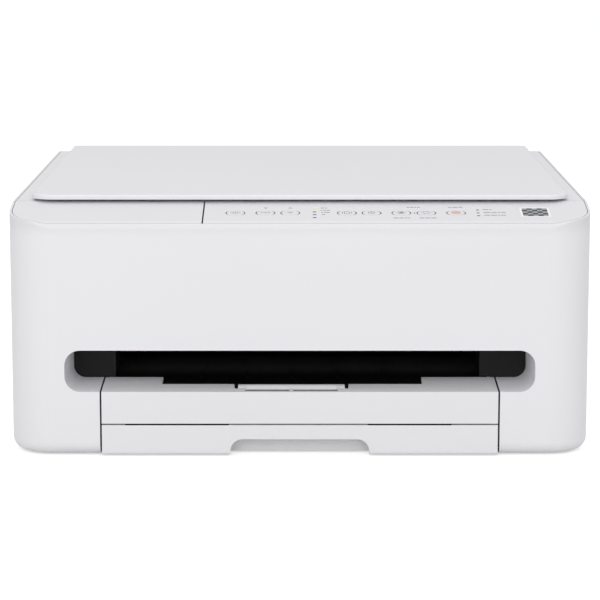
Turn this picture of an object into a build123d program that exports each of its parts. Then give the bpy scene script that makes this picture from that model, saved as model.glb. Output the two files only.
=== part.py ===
from build123d import *
from math import acos, asin, atan2, cos, degrees, hypot, pi, radians, sin, tan
import os

# Compact front-loading inkjet multifunction printer, all lengths in millimetres.
# The origin is the middle of the footprint at table height, X to the right, Y to the back, Z up.

# A4 paper, which sets the width of the glass and the case and the depth of the cassette and the case
sheet_width = 210.0
sheet_length = 297.0
sheet_room = 13.0

# Clearances
seat_gap = 0.3
running_gap = 0.08
nip_gap = 0.3

# Outer case
glass_room = 11.0
glass_side_room = 34.0
rear_room = 34.0
cassette_front_depth = 16.0
cassette_length = sheet_length + sheet_room
glass_width = sheet_length + glass_room
case_width = glass_width + 2 * glass_side_room
case_depth = cassette_front_depth + cassette_length + rear_room
half_width = case_width / 2
half_depth = case_depth / 2
front_y = -half_depth
ground_gap = 1.0
case_wall = 2.4
floor_z = ground_gap + case_wall
front_corner_radius = 27.0
rear_corner_radius = 4.0
bottom_edge_radius = 8.0
base_flange = 13.0

# Output slot and its tapered pocket
bay_room = 24.0
bay_width = sheet_width + 2 * bay_room
slot_margin = 22.6
slot_width = bay_width + 2 * slot_margin
slot_low = 42.7
slot_high = 69.8
slot_corner_radius = 10.0
pocket_depth = 38.0
pocket_side_taper = 2.8
pocket_floor_rise = 2.2
pocket_wall = 2.2
pocket_back = front_y + pocket_depth
lip_slope = pocket_floor_rise / pocket_depth

# Paper rollers, placed from the back
turn_inset = 42.0
turn_y = half_depth - turn_inset
turn_z = 40.0
turn_radius = 16.0
plate_to_turn = 76.0
plate_y = turn_y - plate_to_turn
feed_to_plate = 20.0
feed_y = plate_y - feed_to_plate
feed_z = 56.0
feed_radius = 5.0
feed_shaft_radius = 4.0
eject_to_feed = 56.0
eject_y = feed_y - eject_to_feed
eject_z = 54.0
eject_radius = 5.0
eject_shaft_radius = 3.0
axle_radius = 1.2
pinch_radius = 3.0
pinch_z = feed_z + feed_radius + nip_gap + pinch_radius
pinch_count = 4
pinch_length = 34.0
pinch_margin = 29.0
star_radius = 3.7
star_z = eject_z + eject_radius + nip_gap + star_radius
star_count = 8
star_tips = 10
star_root = 0.72
star_thickness = 1.2
star_margin = 16.0
tyre_width = 9.0
guide_margin = 2.0
guide_half_width = sheet_width / 2 + guide_margin
star_pitch = 2 * (guide_half_width - star_margin) / (star_count - 1)
pinch_pitch = 2 * (guide_half_width - pinch_margin) / (pinch_count - 1)

# Platen and the round guide behind it
platen_z = 53.0
platen_thickness = 3.0
platen_roller_gap = 3.0
platen_rib_count = 11
platen_rib_margin = 32.5
platen_rib_width = 1.6
platen_rib_height = 1.0
guide_roller_gap = 2.0
web_z = 44.0
bar_wall = 1.8
bar_room = 3.0

# Steel chassis
sheet_steel = 1.2
plate_side_gap = 10.0
plate_half_width = half_width - plate_side_gap
plate_rise = 2.0
plate_low = web_z + plate_rise
paper_slot_half_width = guide_half_width + guide_margin
paper_slot_top = 68.0
cheek_gap = 6.0
gear_side_room = 39.0
cheek_left = -sheet_width / 2 - gear_side_room
cheek_right = sheet_width / 2 + cheek_gap
cheek_low = 40.0
cheek_rise = 2.4
leg_width = 22.0
leg_foot = 14.0
rail_depth = 16.0
window_pitch = 44.0
window_count = 7
window_height = 8.0
window_share = 0.7

# Gears on the left of the chassis
gear_module = 1.0
gear_width = 6.0
gear_gap = 1.0
gear_x = cheek_left - sheet_steel - gear_gap - gear_width
feed_teeth = 21
eject_teeth = 20
idler_teeth = 40
pinion_teeth = 12
pinion_angle = -100.0
pressure_angle = 20.0
tooth_tip = 0.9
tooth_root = 1.2
backlash = 0.25
idler_hole_orbit = 12.0
idler_hole_radius = 3.4
idler_hole_count = 5
motor_shaft_radius = 1.5
motor_bore_depth = 6.0
motor_radius = 13.0
motor_air = 4.4
motor_edge = 1.0
feed_motor_length = half_width + gear_x - gear_gap - case_wall - motor_air
carriage_motor_length = 28.0

# Carriage with its cradle, its print head and its two cartridges
bay_pitch = 45.0
bay_clear = 41.0
cradle_side = 5.0
cradle_wall = 2.4
carriage_width = bay_pitch + bay_clear + 2 * cradle_side
park_room = 14.0
carriage_park = half_width - park_room - carriage_width / 2
carriage_reach = 20.0
carriage_to_plate = 12.0
carriage_rise = 15.5
carriage_floor = 3.5
carriage_front = eject_y - carriage_reach
carriage_back = plate_y - carriage_to_plate
carriage_low = platen_z + carriage_rise
cradle_floor = carriage_low + carriage_floor
cradle_height = 26.0
carriage_top = cradle_floor + cradle_height
carriage_corner = 4.0
head_width = 60.0
head_to_eject = 18.0
head_to_feed = 14.0
head_front = eject_y + head_to_eject
head_back = feed_y - head_to_feed
head_gap = 2.5
head_low = platen_z + head_gap
head_shoulder = 6.0
valley_gap = 2.3
cheek_valley = head_low - valley_gap
rail_rise = 5.5
rail_z = carriage_low + rail_rise
rail_slot_depth = 5.0
rail_slot_gap = 0.3
clamp_width = 16.0
clamp_wall = 1.0
clamp_cap = 4.0
strip_air = 1.5
strip_y = carriage_back + strip_air
strip_low = carriage_top
strip_height = 6.0
strip_thickness = 0.4
strip_head = 2.0
plate_top = strip_low + strip_height + strip_head
pulley_flange_radius = 8.0
pulley_x = plate_half_width - pulley_flange_radius
pulley_drop = 10.0
pulley_z = carriage_top - pulley_drop
pulley_radius = 6.0
pulley_shaft_radius = 2.0
pulley_flange = 1.0
belt_thickness = 1.2
belt_width = 4.4
belt_to_plate = 7.0
belt_y = plate_y - belt_to_plate
cartridge_width = bay_clear - 2 * seat_gap
cartridge_height = 20.0
cartridge_top = cradle_floor + cartridge_height
cartridge_step = 3.0
cartridge_nose = 10.0
cartridge_slope = 8.0
cartridge_ridge = 14.0
cartridge_corner = 2.0
latch_ear = 2.0
ear_gap = 0.3
latch_width = bay_pitch - 2 * (latch_ear + ear_gap)
latch_reach = 29.0
latch_inset = 1.0
latch_rise = 2.0
latch_front = carriage_front + latch_inset
latch_y = latch_front + latch_reach
latch_z = carriage_top + latch_rise
latch_post = 4.0
latch_half = 2.0
latch_heel = 3.0
latch_nose = 4.0
latch_root = 6.0
finger_notch_depth = 6.0
finger_notch_height = 12.0

# Scanner unit, which tips about a barrel at the back
unit_air = 7.0
unit_height = 47.7
unit_low = plate_top + unit_air
rim_height = unit_low + unit_height
unit_wall = 2.4
unit_gap = 1.0
rim_wall = 1.5
rim_gap = 0.5
rebate_depth = 8.0
unit_inset = rim_wall + rim_gap
barrel_radius = 6.5
barrel_swing = 0.4
hinge_y = half_depth - barrel_radius - rim_gap
hinge_rise = 5.0
hinge_z = unit_low + hinge_rise
hinge_pin_radius = 2.5
hinge_pin_length = 12.0

# Sloped strip along the front of the top
slope_depth = 45.1
slope_drop = 8.1
front_edge_radius = 5.0
strip_split = -62.3
strip_gap = 1.0
strip_reach = 3.9
front_height = rim_height - slope_drop
slope_start = front_y + slope_depth
slope_angle = degrees(atan2(slope_drop, slope_depth))
strip_back = slope_start + strip_reach
rebate_z = front_height - rebate_depth
skirt_low = rebate_z + seat_gap

# Scanner glass, rail and bar
glass_depth = 222.0
glass_thickness = 2.8
glass_x = -9.0
glass_front_room = 15.0
glass_y = strip_back + glass_front_room + glass_depth / 2
glass_sink = 0.5
glass_ledge = 4.0
glass_ledge_thickness = 1.0
glass_top = rim_height - glass_sink
glass_low = glass_top - glass_thickness
bar_width = 18.0
bar_height = 12.0
bar_edge = 3.0
rail_radius = 3.0
scan_rail_rise = 13.0
scan_rail_z = unit_low + scan_rail_rise
rail_post = 6.0
slider_half = 11.0
slider_width = 18.0

# Buttons on the operation panel
button_width = 11.2
button_depth = 8.0
button_corner = 3.5
button_gap = 0.35
flange_thickness = 1.0
flange_reach = 1.0
carrier_depth = 6.4
carrier_margin = 4.0
carrier_post = 2.0
carrier_share = 2.5
button_line = 20.8
button_centres = {
    "power_button": -41.6,
    "network_button": -22.2,
    "wireless_button": -6.2,
    "paper_button": 30.4,
    "information_button": 46.3,
    "black_button": 65.5,
    "colour_button": 81.6,
    "stop_button": 100.8,
}

# Document lid
lid_side_margin = 12.0
lid_overhang = 4.6
lid_back_margin = 4.0
lid_rise = 1.8
lid_width = case_width - 2 * lid_side_margin
lid_front = slope_start - lid_overhang
lid_back = half_depth - lid_back_margin
lid_low = rim_height + lid_rise
lid_thickness = 3.0
lid_skin = 2.2
lid_top = lid_low + lid_thickness
lid_front_radius = 14.0
lid_back_radius = 10.0
lid_edge_radius = 1.4
lid_ear = 3.0
lid_pin_radius = 1.6
knuckle_radius = 3.2
knuckle_width = 20.0
lid_hinge_x = 110.0
lid_hinge_inset = 6.0
lid_hinge_y = lid_back - lid_hinge_inset
lid_hinge_z = lid_low - knuckle_radius - rim_gap
post_depth = 2 * knuckle_radius
post_rise = 17.0
post_low = unit_low + post_rise
step_room = 1.3
step_side_gap = 1.5
rear_step = lid_hinge_y - knuckle_radius - step_room
rear_step_z = lid_hinge_z - lid_hinge_inset - rim_gap
pad_margin = 2.0
pad_width = glass_width + 2 * pad_margin
pad_length = glass_depth + 2 * pad_margin

# Bay that holds the cassette and the output tray
bay_gap = 1.0
bay_wall = 2.0
bay_half = bay_width / 2
bay_side = bay_half - bay_gap
bay_plate_gap = 2.0
bay_back = plate_y - bay_plate_gap
bay_top = web_z - seat_gap

# Base pan and feet
pan_floor = 2.0
pan_margin = 0.3
foot_radius = 8.0
foot_inset = 38.0
ledge_depth = 2.2
ledge_thickness = 2.0
rib_pitch = 36.0
rib_count = 6
ear_width = 3.0
pan_half_x = half_width - base_flange - pan_margin
pan_back = half_depth - base_flange - pan_margin

# Black frame behind the slot
fascia_thickness = 2.0
fascia_head = 6.6
fascia_left_room = 16.5
fascia_right_room = 13.5
fascia_mouth_left = -sheet_width / 2 - fascia_left_room
fascia_mouth_right = sheet_width / 2 + fascia_right_room
fascia_tunnel = 40.0

# Cassette
cassette_front_low = 1.2
cassette_front_high = 20.8
cassette_margin = 7.0
cassette_width = bay_width - 2 * cassette_margin
cassette_wall = 2.0
cassette_height = 19.5
cassette_corner = 4.0
cassette_z = floor_z + seat_gap
cassette_floor = cassette_z + cassette_wall
cassette_front_back = front_y + cassette_front_depth
cassette_back = cassette_front_back + cassette_length
front_lower_radius = 2.0
scoop_width = 90.0
scoop_height = 11.5
scoop_radius = 8.0
scoop_depth = 12.0
guide_wall = 2.0
guide_length = 80.0
guide_height = 17.0
guide_foot = 12.0
rack_width = 4.0
rack_thickness = 1.5
rack_y = 30.0
rack_overlap = 2.0
rack_clear = 0.3
pinion_pitch_radius = 7.0
pinion_boss_radius = 2.5
end_guide_width = 50.0
end_guide_length = 32.0
end_guide_root = 6.0
end_guide_corner = 4.0

# Output tray
tray_low = 21.8
tray_wall = 2.2
tray_eject_room = 46.0
tray_back = eject_y - tray_eject_room
tray_shelf = 34.6
tray_top_front = slot_low
tray_top_back = slot_low + pocket_floor_rise
tray_floor_top = slot_low
tray_floor_thickness = 2.0
tray_foot = 3.0
floor_rib_pitch = 30.0
floor_rib_count = 5
floor_rib_width = 1.6
floor_rib_height = 0.8
floor_rib_front = 8.0
floor_rib_back = 4.0
notch_left = -90.0
notch_right = 80.0
notch_depth = 20.0

# Sheet stop, a flap that lies in a cut-out of the tray's lip
stop_left = -40.2
stop_right = 29.2
stop_depth = 19.4
stop_thickness = 2.0
stop_bevel_depth = 15.5
stop_bevel_angle = 20.0
stop_setback = 10.4
stop_drop = 2.6
stop_barrel_radius = 1.1
stop_pin_radius = 0.7
stop_pin_length = 4.1
stop_side_gap = 2.0
stop_side_flare = 0.7
stop_front_gap = 0.6
stop_hole_margin = 4.7
stop_tooth_x = -5.5
stop_tooth_width = 2.6
stop_lug_start = 2.3
stop_lug_width = 2.6
stop_lug_half = 2.0
stop_y = front_y + stop_setback
stop_z = tray_top_front + stop_setback * lip_slope - stop_drop

# Maintenance unit, power supply and main board
board_side_gap = 10.0
board_x = half_width - board_side_gap
board_front_room = 30.0
board_front = front_y + board_front_room
board_length = 130.0
board_top = 96.0
board_thickness = 1.6
chip_thickness = 2.0
chips = (
    {"along": 30.0, "up": 60.0, "size": 24.0},
    {"along": 70.0, "up": 56.0, "size": 16.0},
    {"along": 100.0, "up": 40.0, "size": 12.0},
    {"along": 66.0, "up": 28.0, "size": 14.0},
)
purge_air = 6.0
purge_right = board_x - purge_air
purge_margin = 12.0
cap_height = 4.0
cap_pitch = 22.0
cap_wall = 2.0
cap_shift = 10.0
cap_corner = 3.0
supply_front_room = 46.0
supply_front = front_y + supply_front_room
supply_length = 92.0
supply_height = 50.0
supply_corner = 3.0
supply_plinth = 8.0
vent_count = 6
vent_pitch = 14.0
vent_length = 28.0
vent_width = 4.0
vent_depth = 2.0

# Sockets in the back
inlet_inset = 30.0
inlet_x = inlet_inset - half_width
inlet_z = 34.0
inlet_width = 22.0
inlet_height = 16.0
inlet_mouth = 15.0
inlet_mouth_height = 8.6
inlet_pin_radius = 1.1
inlet_corner = 2.0
socket_end = 4.0
usb_inset = 32.0
usb_x = half_width - usb_inset
usb_z = 30.0
usb_width = 12.0
usb_height = 11.0
usb_wall = 0.9
usb_end = 2.0
usb_tongue_half = 2.6
usb_tongue_thickness = 3.0
socket_length = 18.0

# Pickup arm over the cassette
pickup_reach = 30.0
pickup_to_turn = 46.0
pickup_y = turn_y - pickup_to_turn
pickup_z = 30.0
pickup_roller_radius = 8.0
pickup_roller_width = 16.0
pickup_shaft_radius = 3.0
pickup_axle_radius = 2.0
pickup_shaft_seat = 6.0
pickup_end_gap = 0.5
fork_wall = 2.5
fork_web = 3.0
arm_notch = 32.0

# Rear access cover
rear_cover_margin = 10.0
rear_cover_width = sheet_width + 2 * rear_cover_margin
rear_barrel_radius = 6.0
rear_pin_radius = 2.0
rear_hinge_y = half_depth - rear_barrel_radius
rear_hinge_z = 18.0
rear_cover_drop = 5.6
rear_cover_head = 9.0
rear_cover_low = rear_hinge_z - rear_cover_drop
rear_cover_high = unit_low - rear_cover_head
rear_ear_near = rear_cover_width / 2 + seat_gap
rear_ear_far = rear_ear_near + ear_width
barrel_plug = 8.0
turn_space = 6.0
turn_rib_count = 7
turn_rib_pitch = 32.0
turn_rib_width = 2.0
turn_rib_root = 3.0
turn_rib_from = -20.0
turn_rib_to = 80.0

# Plane of the sloped strip, from its front edge
strip_plane = Plane(
    origin=(0, front_y, front_height),
    x_dir=(1, 0, 0),
    z_dir=(0, -sin(radians(slope_angle)), cos(radians(slope_angle))),
)


def mirrored(side, near, far):
    """The stretch from near to far on one side of the middle, its low end first."""
    return sorted((side * near, side * far))


def plan_outline(inset):
    """Outline of the case from above, moved inwards by inset, with round front corners."""
    outline = Rectangle(case_width - 2 * inset, case_depth - 2 * inset)
    fillet(outline.vertices().group_by(Axis.Y)[0], front_corner_radius - inset)


def cut_above_top():
    """Takes away everything above the flat top, the sloped strip and its rounded front edge."""
    with BuildSketch(Plane.YZ) as above:
        with BuildLine():
            low = front_height - 2 * front_edge_radius
            FilletPolyline(
                (front_y, low),
                (front_y, front_height),
                (slope_start, rim_height),
                radius=front_edge_radius,
            )
            Polyline(
                (slope_start, rim_height),
                (case_depth, rim_height),
                (case_depth, 2 * rim_height),
                (-case_depth, 2 * rim_height),
                (-case_depth, low),
                (front_y, low),
            )
        make_face()
    extrude(above.sketch, amount=case_width, both=True, mode=Mode.SUBTRACT)


def slab(x_low, x_high, y_low, y_high, z_low, z_high, mode=Mode.ADD):
    """Straight stretch of wall or plate between two corners."""
    with BuildSketch(Plane.XY.offset(z_low)) as face:
        with Locations(((x_low + x_high) / 2, (y_low + y_high) / 2)):
            Rectangle(x_high - x_low, y_high - y_low)
    extrude(face.sketch, amount=z_high - z_low, mode=mode)


def rod_x(x_low, x_high, y, z, radius, mode=Mode.ADD):
    """Round bar along X."""
    with BuildSketch(Plane.YZ.offset(x_low)) as face:
        with Locations((y, z)):
            Circle(radius)
    extrude(face.sketch, amount=x_high - x_low, mode=mode)


def rod_y(y_low, y_high, x, z, radius, mode=Mode.ADD):
    """Round bar along Y."""
    with BuildSketch(Plane.XZ.offset(-y_high)) as face:
        with Locations((x, z)):
            Circle(radius)
    extrude(face.sketch, amount=y_high - y_low, mode=mode)


def pocket_outline(back, grow):
    """Rounded outline of the output pocket at its mouth or at its back, moved outwards by grow."""
    low = slot_low + (pocket_floor_rise if back else 0)
    width = slot_width - (2 * pocket_side_taper if back else 0)
    radius = slot_corner_radius - (pocket_floor_rise if back else 0)
    with Locations((0, (low + slot_high) / 2)):
        RectangleRounded(width + 2 * grow, slot_high - low + 2 * grow, radius + grow)


def pocket(grow, mode):
    """Tapered tube from the front face to the back of the pocket."""
    with BuildSketch(Plane.XZ.offset(-front_y)) as mouth:
        pocket_outline(False, grow)
    with BuildSketch(Plane.XZ.offset(-pocket_back)) as back:
        pocket_outline(True, grow)
    loft([mouth.sketch, back.sketch], mode=mode)


def strip_shell(x_low, x_high):
    """Piece of the sloped strip between two widths: skin, front skirt and side skirt."""
    with BuildSketch(Plane.XY.offset(skirt_low)) as outside:
        plan_outline(unit_inset)
    extrude(outside.sketch, amount=rim_height - skirt_low)
    with BuildSketch(Plane.YZ) as below:
        with BuildLine():
            Polyline(
                (front_y, skirt_low - 1),
                (front_y, front_height - unit_wall),
                (slope_start, rim_height - unit_wall),
                (half_depth, rim_height - unit_wall),
                (half_depth, skirt_low - 1),
                close=True,
            )
        make_face()
    with BuildSketch(Plane.XY.offset(skirt_low)) as inside:
        plan_outline(unit_inset + unit_wall)
    hollow = extrude(inside.sketch, amount=rim_height - skirt_low, mode=Mode.PRIVATE)
    hollow &= extrude(below.sketch, amount=case_width, both=True, mode=Mode.PRIVATE)
    add(hollow, mode=Mode.SUBTRACT)
    cut_above_top()
    slab(-case_width, case_width, strip_back, case_depth, 0, 2 * rim_height, Mode.SUBTRACT)
    slab(-case_width, x_low, -case_depth, case_depth, 0, 2 * rim_height, Mode.SUBTRACT)
    slab(x_high, case_width, -case_depth, case_depth, 0, 2 * rim_height, Mode.SUBTRACT)


def pulley_profile(x):
    """Flanged pulley on its shaft, which passes back through the chassis."""
    rim = belt_width / 2 + 2 * running_gap
    rod_y(belt_y - rim - pulley_flange, belt_y + rim + pulley_flange, x, pulley_z, pulley_flange_radius)
    with BuildSketch(Plane.XZ.offset(-belt_y - rim)) as groove:
        with Locations((x, pulley_z)):
            Circle(pulley_flange_radius)
            Circle(pulley_radius, mode=Mode.SUBTRACT)
    extrude(groove.sketch, amount=2 * rim, mode=Mode.SUBTRACT)
    rod_y(belt_y, plate_y + sheet_steel + motor_bore_depth - seat_gap, x, pulley_z, pulley_shaft_radius)


def involute_half_angle(teeth, radius):
    """Half the angle that a tooth takes at a radius, from the involute of its base circle."""
    pressure = radians(pressure_angle)
    pitch_radius = gear_module * teeth / 2
    base_radius = pitch_radius * cos(pressure)
    at_pitch = (pi * gear_module / 2 - backlash) / (2 * pitch_radius)
    local = acos(min(1.0, base_radius / radius))
    return at_pitch + (tan(pressure) - pressure) - (tan(local) - local)


def gear_face(teeth, y, z, first_tooth):
    """Gear outline with straight flanks inside the involute, its first tooth at an angle in degrees."""
    pitch_radius = gear_module * teeth / 2
    tip_radius = pitch_radius + tooth_tip * gear_module
    root_radius = pitch_radius - tooth_root * gear_module
    at_root = involute_half_angle(teeth, root_radius)
    at_tip = involute_half_angle(teeth, tip_radius)
    points = []
    for tooth in range(teeth):
        middle = radians(first_tooth) + tooth * 2 * pi / teeth
        for radius, turn in (
            (root_radius, -at_root),
            (tip_radius, -at_tip),
            (tip_radius, at_tip),
            (root_radius, at_root),
        ):
            points.append((y + radius * cos(middle + turn), z + radius * sin(middle + turn)))
    Polygon(*points, align=None)


def meshed_tooth(idler_tooth, teeth, direction):
    """Angle of a tooth on a gear that meshes with the idler in a given direction from it."""
    full_turn = 360
    pitch = full_turn / idler_teeth
    offset = (idler_tooth - direction) % pitch
    gap = direction + full_turn / 2 - offset * idler_teeth / teeth
    return gap + full_turn / (2 * teeth)


# The idler hangs below the two roller gears and meshes with both
feed_reach = gear_module * (feed_teeth + idler_teeth) / 2
eject_reach = gear_module * (eject_teeth + idler_teeth) / 2
span_y = feed_y - eject_y
span_z = feed_z - eject_z
span = hypot(span_y, span_z)
along = (eject_reach**2 - feed_reach**2 + span**2) / (2 * span)
below = (eject_reach**2 - along**2) ** 0.5
idler_y = eject_y + (along * span_y + below * span_z) / span
idler_z = eject_z + (along * span_z - below * span_y) / span
pinion_reach = gear_module * (pinion_teeth + idler_teeth) / 2
pinion_y = idler_y + pinion_reach * cos(radians(pinion_angle))
pinion_z = idler_z + pinion_reach * sin(radians(pinion_angle))
feed_direction = degrees(atan2(feed_z - idler_z, feed_y - idler_y))
eject_direction = degrees(atan2(eject_z - idler_z, eject_y - idler_y))


pieces = []

# Outer case: moulded tub with an open top, a bay at the front and a tapered output pocket
with BuildPart() as outer_case:
    with BuildSketch(Plane.XY.offset(ground_gap)):
        plan_outline(0)
    extrude(amount=rim_height - ground_gap)
    fillet(outer_case.edges().group_by(Axis.Z)[0].sort_by(Axis.Y)[:-1], bottom_edge_radius)
    rear_edges = outer_case.faces().sort_by(Axis.Y)[-1].edges().sort_by(Axis.Z)[:-1]
    fillet(rear_edges, rear_corner_radius)
    inner_slope = bottom_edge_radius - case_wall
    with BuildSketch(Plane.XY.offset(floor_z)):
        plan_outline(case_wall + inner_slope)
    with BuildSketch(Plane.XY.offset(floor_z + inner_slope)):
        plan_outline(case_wall)
    loft(mode=Mode.SUBTRACT)
    with BuildSketch(Plane.XY.offset(floor_z + inner_slope)):
        plan_outline(case_wall)
    extrude(amount=rim_height, mode=Mode.SUBTRACT)
    with BuildSketch(Plane.XY.offset(rebate_z)):
        plan_outline(rim_wall)
    extrude(amount=rim_height, mode=Mode.SUBTRACT)
    cut_above_top()
    pocket(pocket_wall, Mode.ADD)
    pocket(0, Mode.SUBTRACT)
    slab(-bay_half, bay_half, front_y - 1, pocket_back + 1, 0, tray_top_back + 1, Mode.SUBTRACT)
    slab(-pan_half_x - pan_margin, pan_half_x + pan_margin,
         front_y + base_flange, half_depth - base_flange, 0, floor_z, Mode.SUBTRACT)
    slab(-half_width + rim_wall, half_width - rim_wall, hinge_y - barrel_radius - case_wall,
         case_depth, hinge_z - barrel_radius + barrel_swing, rim_height + 1, Mode.SUBTRACT)
    rod_x(-half_width + rim_wall, half_width - rim_wall, hinge_y, hinge_z, hinge_pin_radius, Mode.SUBTRACT)
    for x, z, width, height in (
        (inlet_x, inlet_z, inlet_width, inlet_height),
        (usb_x, usb_z, usb_width, usb_height),
    ):
        slab(x - width / 2, x + width / 2, half_depth - 2 * case_wall, case_depth,
             z - height / 2, z + height / 2, Mode.SUBTRACT)
    slab(-rear_cover_width / 2, rear_cover_width / 2, half_depth - 2 * case_wall,
         case_depth, rear_cover_low, rear_cover_high, Mode.SUBTRACT)
outer_case.part.label = "outer_case"

# Base pan: floor plate that closes the case, with the two ribbed walls of the bay
with BuildPart() as base_pan:
    pan_front = cassette_front_back + pan_margin
    slab(-pan_half_x, pan_half_x, pan_front, pan_back, floor_z - pan_floor, floor_z)
    cradle_left = -half_width + bottom_edge_radius
    slab(cradle_left, gear_x - gear_gap, pinion_y - motor_radius, pinion_y + motor_radius,
         floor_z, pinion_z - motor_radius / 2)
    ledge_front = front_y + front_corner_radius
    for side in (-1, 1):
        slab(*mirrored(side, bay_half, bay_half + bay_wall), pan_front, pocket_back, floor_z,
             slot_low - pocket_wall - 1)
        slab(*mirrored(side, bay_half, bay_half + bay_wall), pocket_back + seat_gap, bay_back,
             floor_z, bay_top)
        slab(*mirrored(side, bay_half - ledge_depth, bay_half), pocket_back + seat_gap, tray_back,
             tray_shelf - ledge_thickness, tray_shelf)
        slab(*mirrored(side, pan_half_x - ledge_depth, half_width - bottom_edge_radius), ledge_front,
             pan_back, floor_z, floor_z + pan_floor)
        for rib in range(rib_count):
            rib_y = pan_front + rib_pitch * (rib + 0.5)
            slab(*mirrored(side, bay_half + bay_wall, bay_half + 3 * bay_wall), rib_y, rib_y + bay_wall,
                 floor_z, bay_top / 2)
        with BuildSketch(Plane.YZ.offset(mirrored(side, rear_ear_near, rear_ear_far)[0])):
            with BuildLine():
                ear_back = half_depth - case_wall - seat_gap
                ear_slope = half_depth - bottom_edge_radius - seat_gap
                Polyline(
                    (pan_back - 3 * ledge_depth, floor_z),
                    (ear_slope, floor_z),
                    (ear_back, floor_z + ear_back - ear_slope),
                    (ear_back, rear_hinge_z + 2 * rear_pin_radius),
                    (rear_hinge_y - 2 * rear_pin_radius, rear_hinge_z + 2 * rear_pin_radius),
                    close=True,
                )
            make_face()
        extrude(amount=ear_width)
    rod_x(-half_width, gear_x, pinion_y, pinion_z, motor_radius + seat_gap, Mode.SUBTRACT)
    rod_x(-half_width, half_width, rear_hinge_y, rear_hinge_z, rear_pin_radius + running_gap, Mode.SUBTRACT)
base_pan.part.label = "base_pan"

# Rubber feet under the corners of the base pan
with BuildPart() as rubber_feet:
    with BuildSketch():
        with GridLocations(case_width - 2 * foot_inset, case_depth - 2 * foot_inset, 2, 2):
            Circle(foot_radius)
    extrude(amount=floor_z - pan_floor)
rubber_feet.part.label = "rubber_feet"

# Black frame behind the slot: face plate with a tunnel that leads to the eject rollers
with BuildPart() as output_fascia:
    fascia_y = pocket_back + seat_gap
    fascia_low = tray_top_back + seat_gap
    fascia_top = slot_high + fascia_head
    slab(-slot_width / 2, slot_width / 2, fascia_y, fascia_y + fascia_thickness, fascia_low, fascia_top)
    slab(fascia_mouth_left - fascia_thickness, fascia_mouth_right + fascia_thickness,
         fascia_y, fascia_y + fascia_tunnel, fascia_low, fascia_top)
    slab(fascia_mouth_left, fascia_mouth_right, fascia_y - 1, case_depth,
         0, fascia_top - fascia_thickness, Mode.SUBTRACT)
    for side in (-1, 1):
        slab(*mirrored(side, bay_half + bay_wall + seat_gap, slot_width / 2), fascia_y,
             fascia_y + fascia_thickness, slot_low - pocket_wall, fascia_low)
output_fascia.part.label = "output_fascia"

# Chassis: bent steel sheet with the carriage rail, the two roller cheeks and their feet
with BuildPart() as chassis:
    slab(-plate_half_width, plate_half_width, plate_y, plate_y + sheet_steel, plate_low, plate_top)
    slab(-paper_slot_half_width, paper_slot_half_width, plate_y, plate_y + sheet_steel,
         plate_low, paper_slot_top, Mode.SUBTRACT)
    slab(-plate_half_width, plate_half_width, plate_y - rail_depth, plate_y, rail_z, rail_z + sheet_steel)
    for side in (-1, 1):
        leg = mirrored(side, bay_half + 4 * bay_wall, bay_half + 4 * bay_wall + leg_width)
        slab(*leg, plate_y, plate_y + sheet_steel, floor_z, plate_low)
        slab(*leg, plate_y, plate_y + leg_foot, floor_z, floor_z + sheet_steel)
        slab(*mirrored(side, plate_half_width - 2 * sheet_steel, plate_half_width - sheet_steel),
             strip_y, plate_y, strip_low, strip_low + strip_height)
    for cheek_x in (cheek_left - sheet_steel, cheek_right):
        with BuildSketch(Plane.YZ.offset(cheek_x)):
            with BuildLine():
                Polyline(
                    (plate_y, cheek_low),
                    (plate_y, pinch_z + cheek_rise),
                    (feed_y - feed_radius - cheek_rise, pinch_z + cheek_rise),
                    (feed_y - 2 * feed_radius, cheek_valley),
                    (eject_y + 2 * eject_radius, cheek_valley),
                    (eject_y + eject_radius + cheek_rise, star_z + cheek_rise),
                    (eject_y - 2 * eject_radius, star_z + cheek_rise),
                    (eject_y - 2 * eject_radius, cheek_low),
                    close=True,
                )
            make_face()
        extrude(amount=sheet_steel)
    cheek_span = (cheek_left - sheet_steel, cheek_right + sheet_steel)
    rod_x(*cheek_span, feed_y, feed_z, feed_shaft_radius + running_gap, Mode.SUBTRACT)
    rod_x(*cheek_span, eject_y, eject_z, eject_shaft_radius + running_gap, Mode.SUBTRACT)
    rod_x(*cheek_span, feed_y, pinch_z, axle_radius + running_gap, Mode.SUBTRACT)
    rod_x(*cheek_span, eject_y, star_z, axle_radius + running_gap, Mode.SUBTRACT)
    rod_x(gear_x, cheek_left, idler_y, idler_z, eject_shaft_radius)
    for x in (-pulley_x, pulley_x):
        rod_y(plate_y, plate_y + sheet_steel, x, pulley_z, pulley_shaft_radius + running_gap, Mode.SUBTRACT)
    with BuildSketch(Plane.XZ.offset(-plate_y - sheet_steel)):
        with Locations((0, (rail_z + plate_top) / 2)):
            with GridLocations(window_pitch, 1, window_count, 1):
                SlotOverall(window_pitch * window_share, window_height)
    extrude(amount=sheet_steel, mode=Mode.SUBTRACT)
chassis.part.label = "chassis"

# Encoder strip that the carriage reads, hooked to the ends of the chassis
with BuildPart() as encoder_strip:
    strip_half = plate_half_width - 2 * sheet_steel
    slab(-strip_half, strip_half, strip_y, strip_y + strip_thickness, strip_low, strip_low + strip_height)
encoder_strip.part.label = "encoder_strip"

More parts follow.
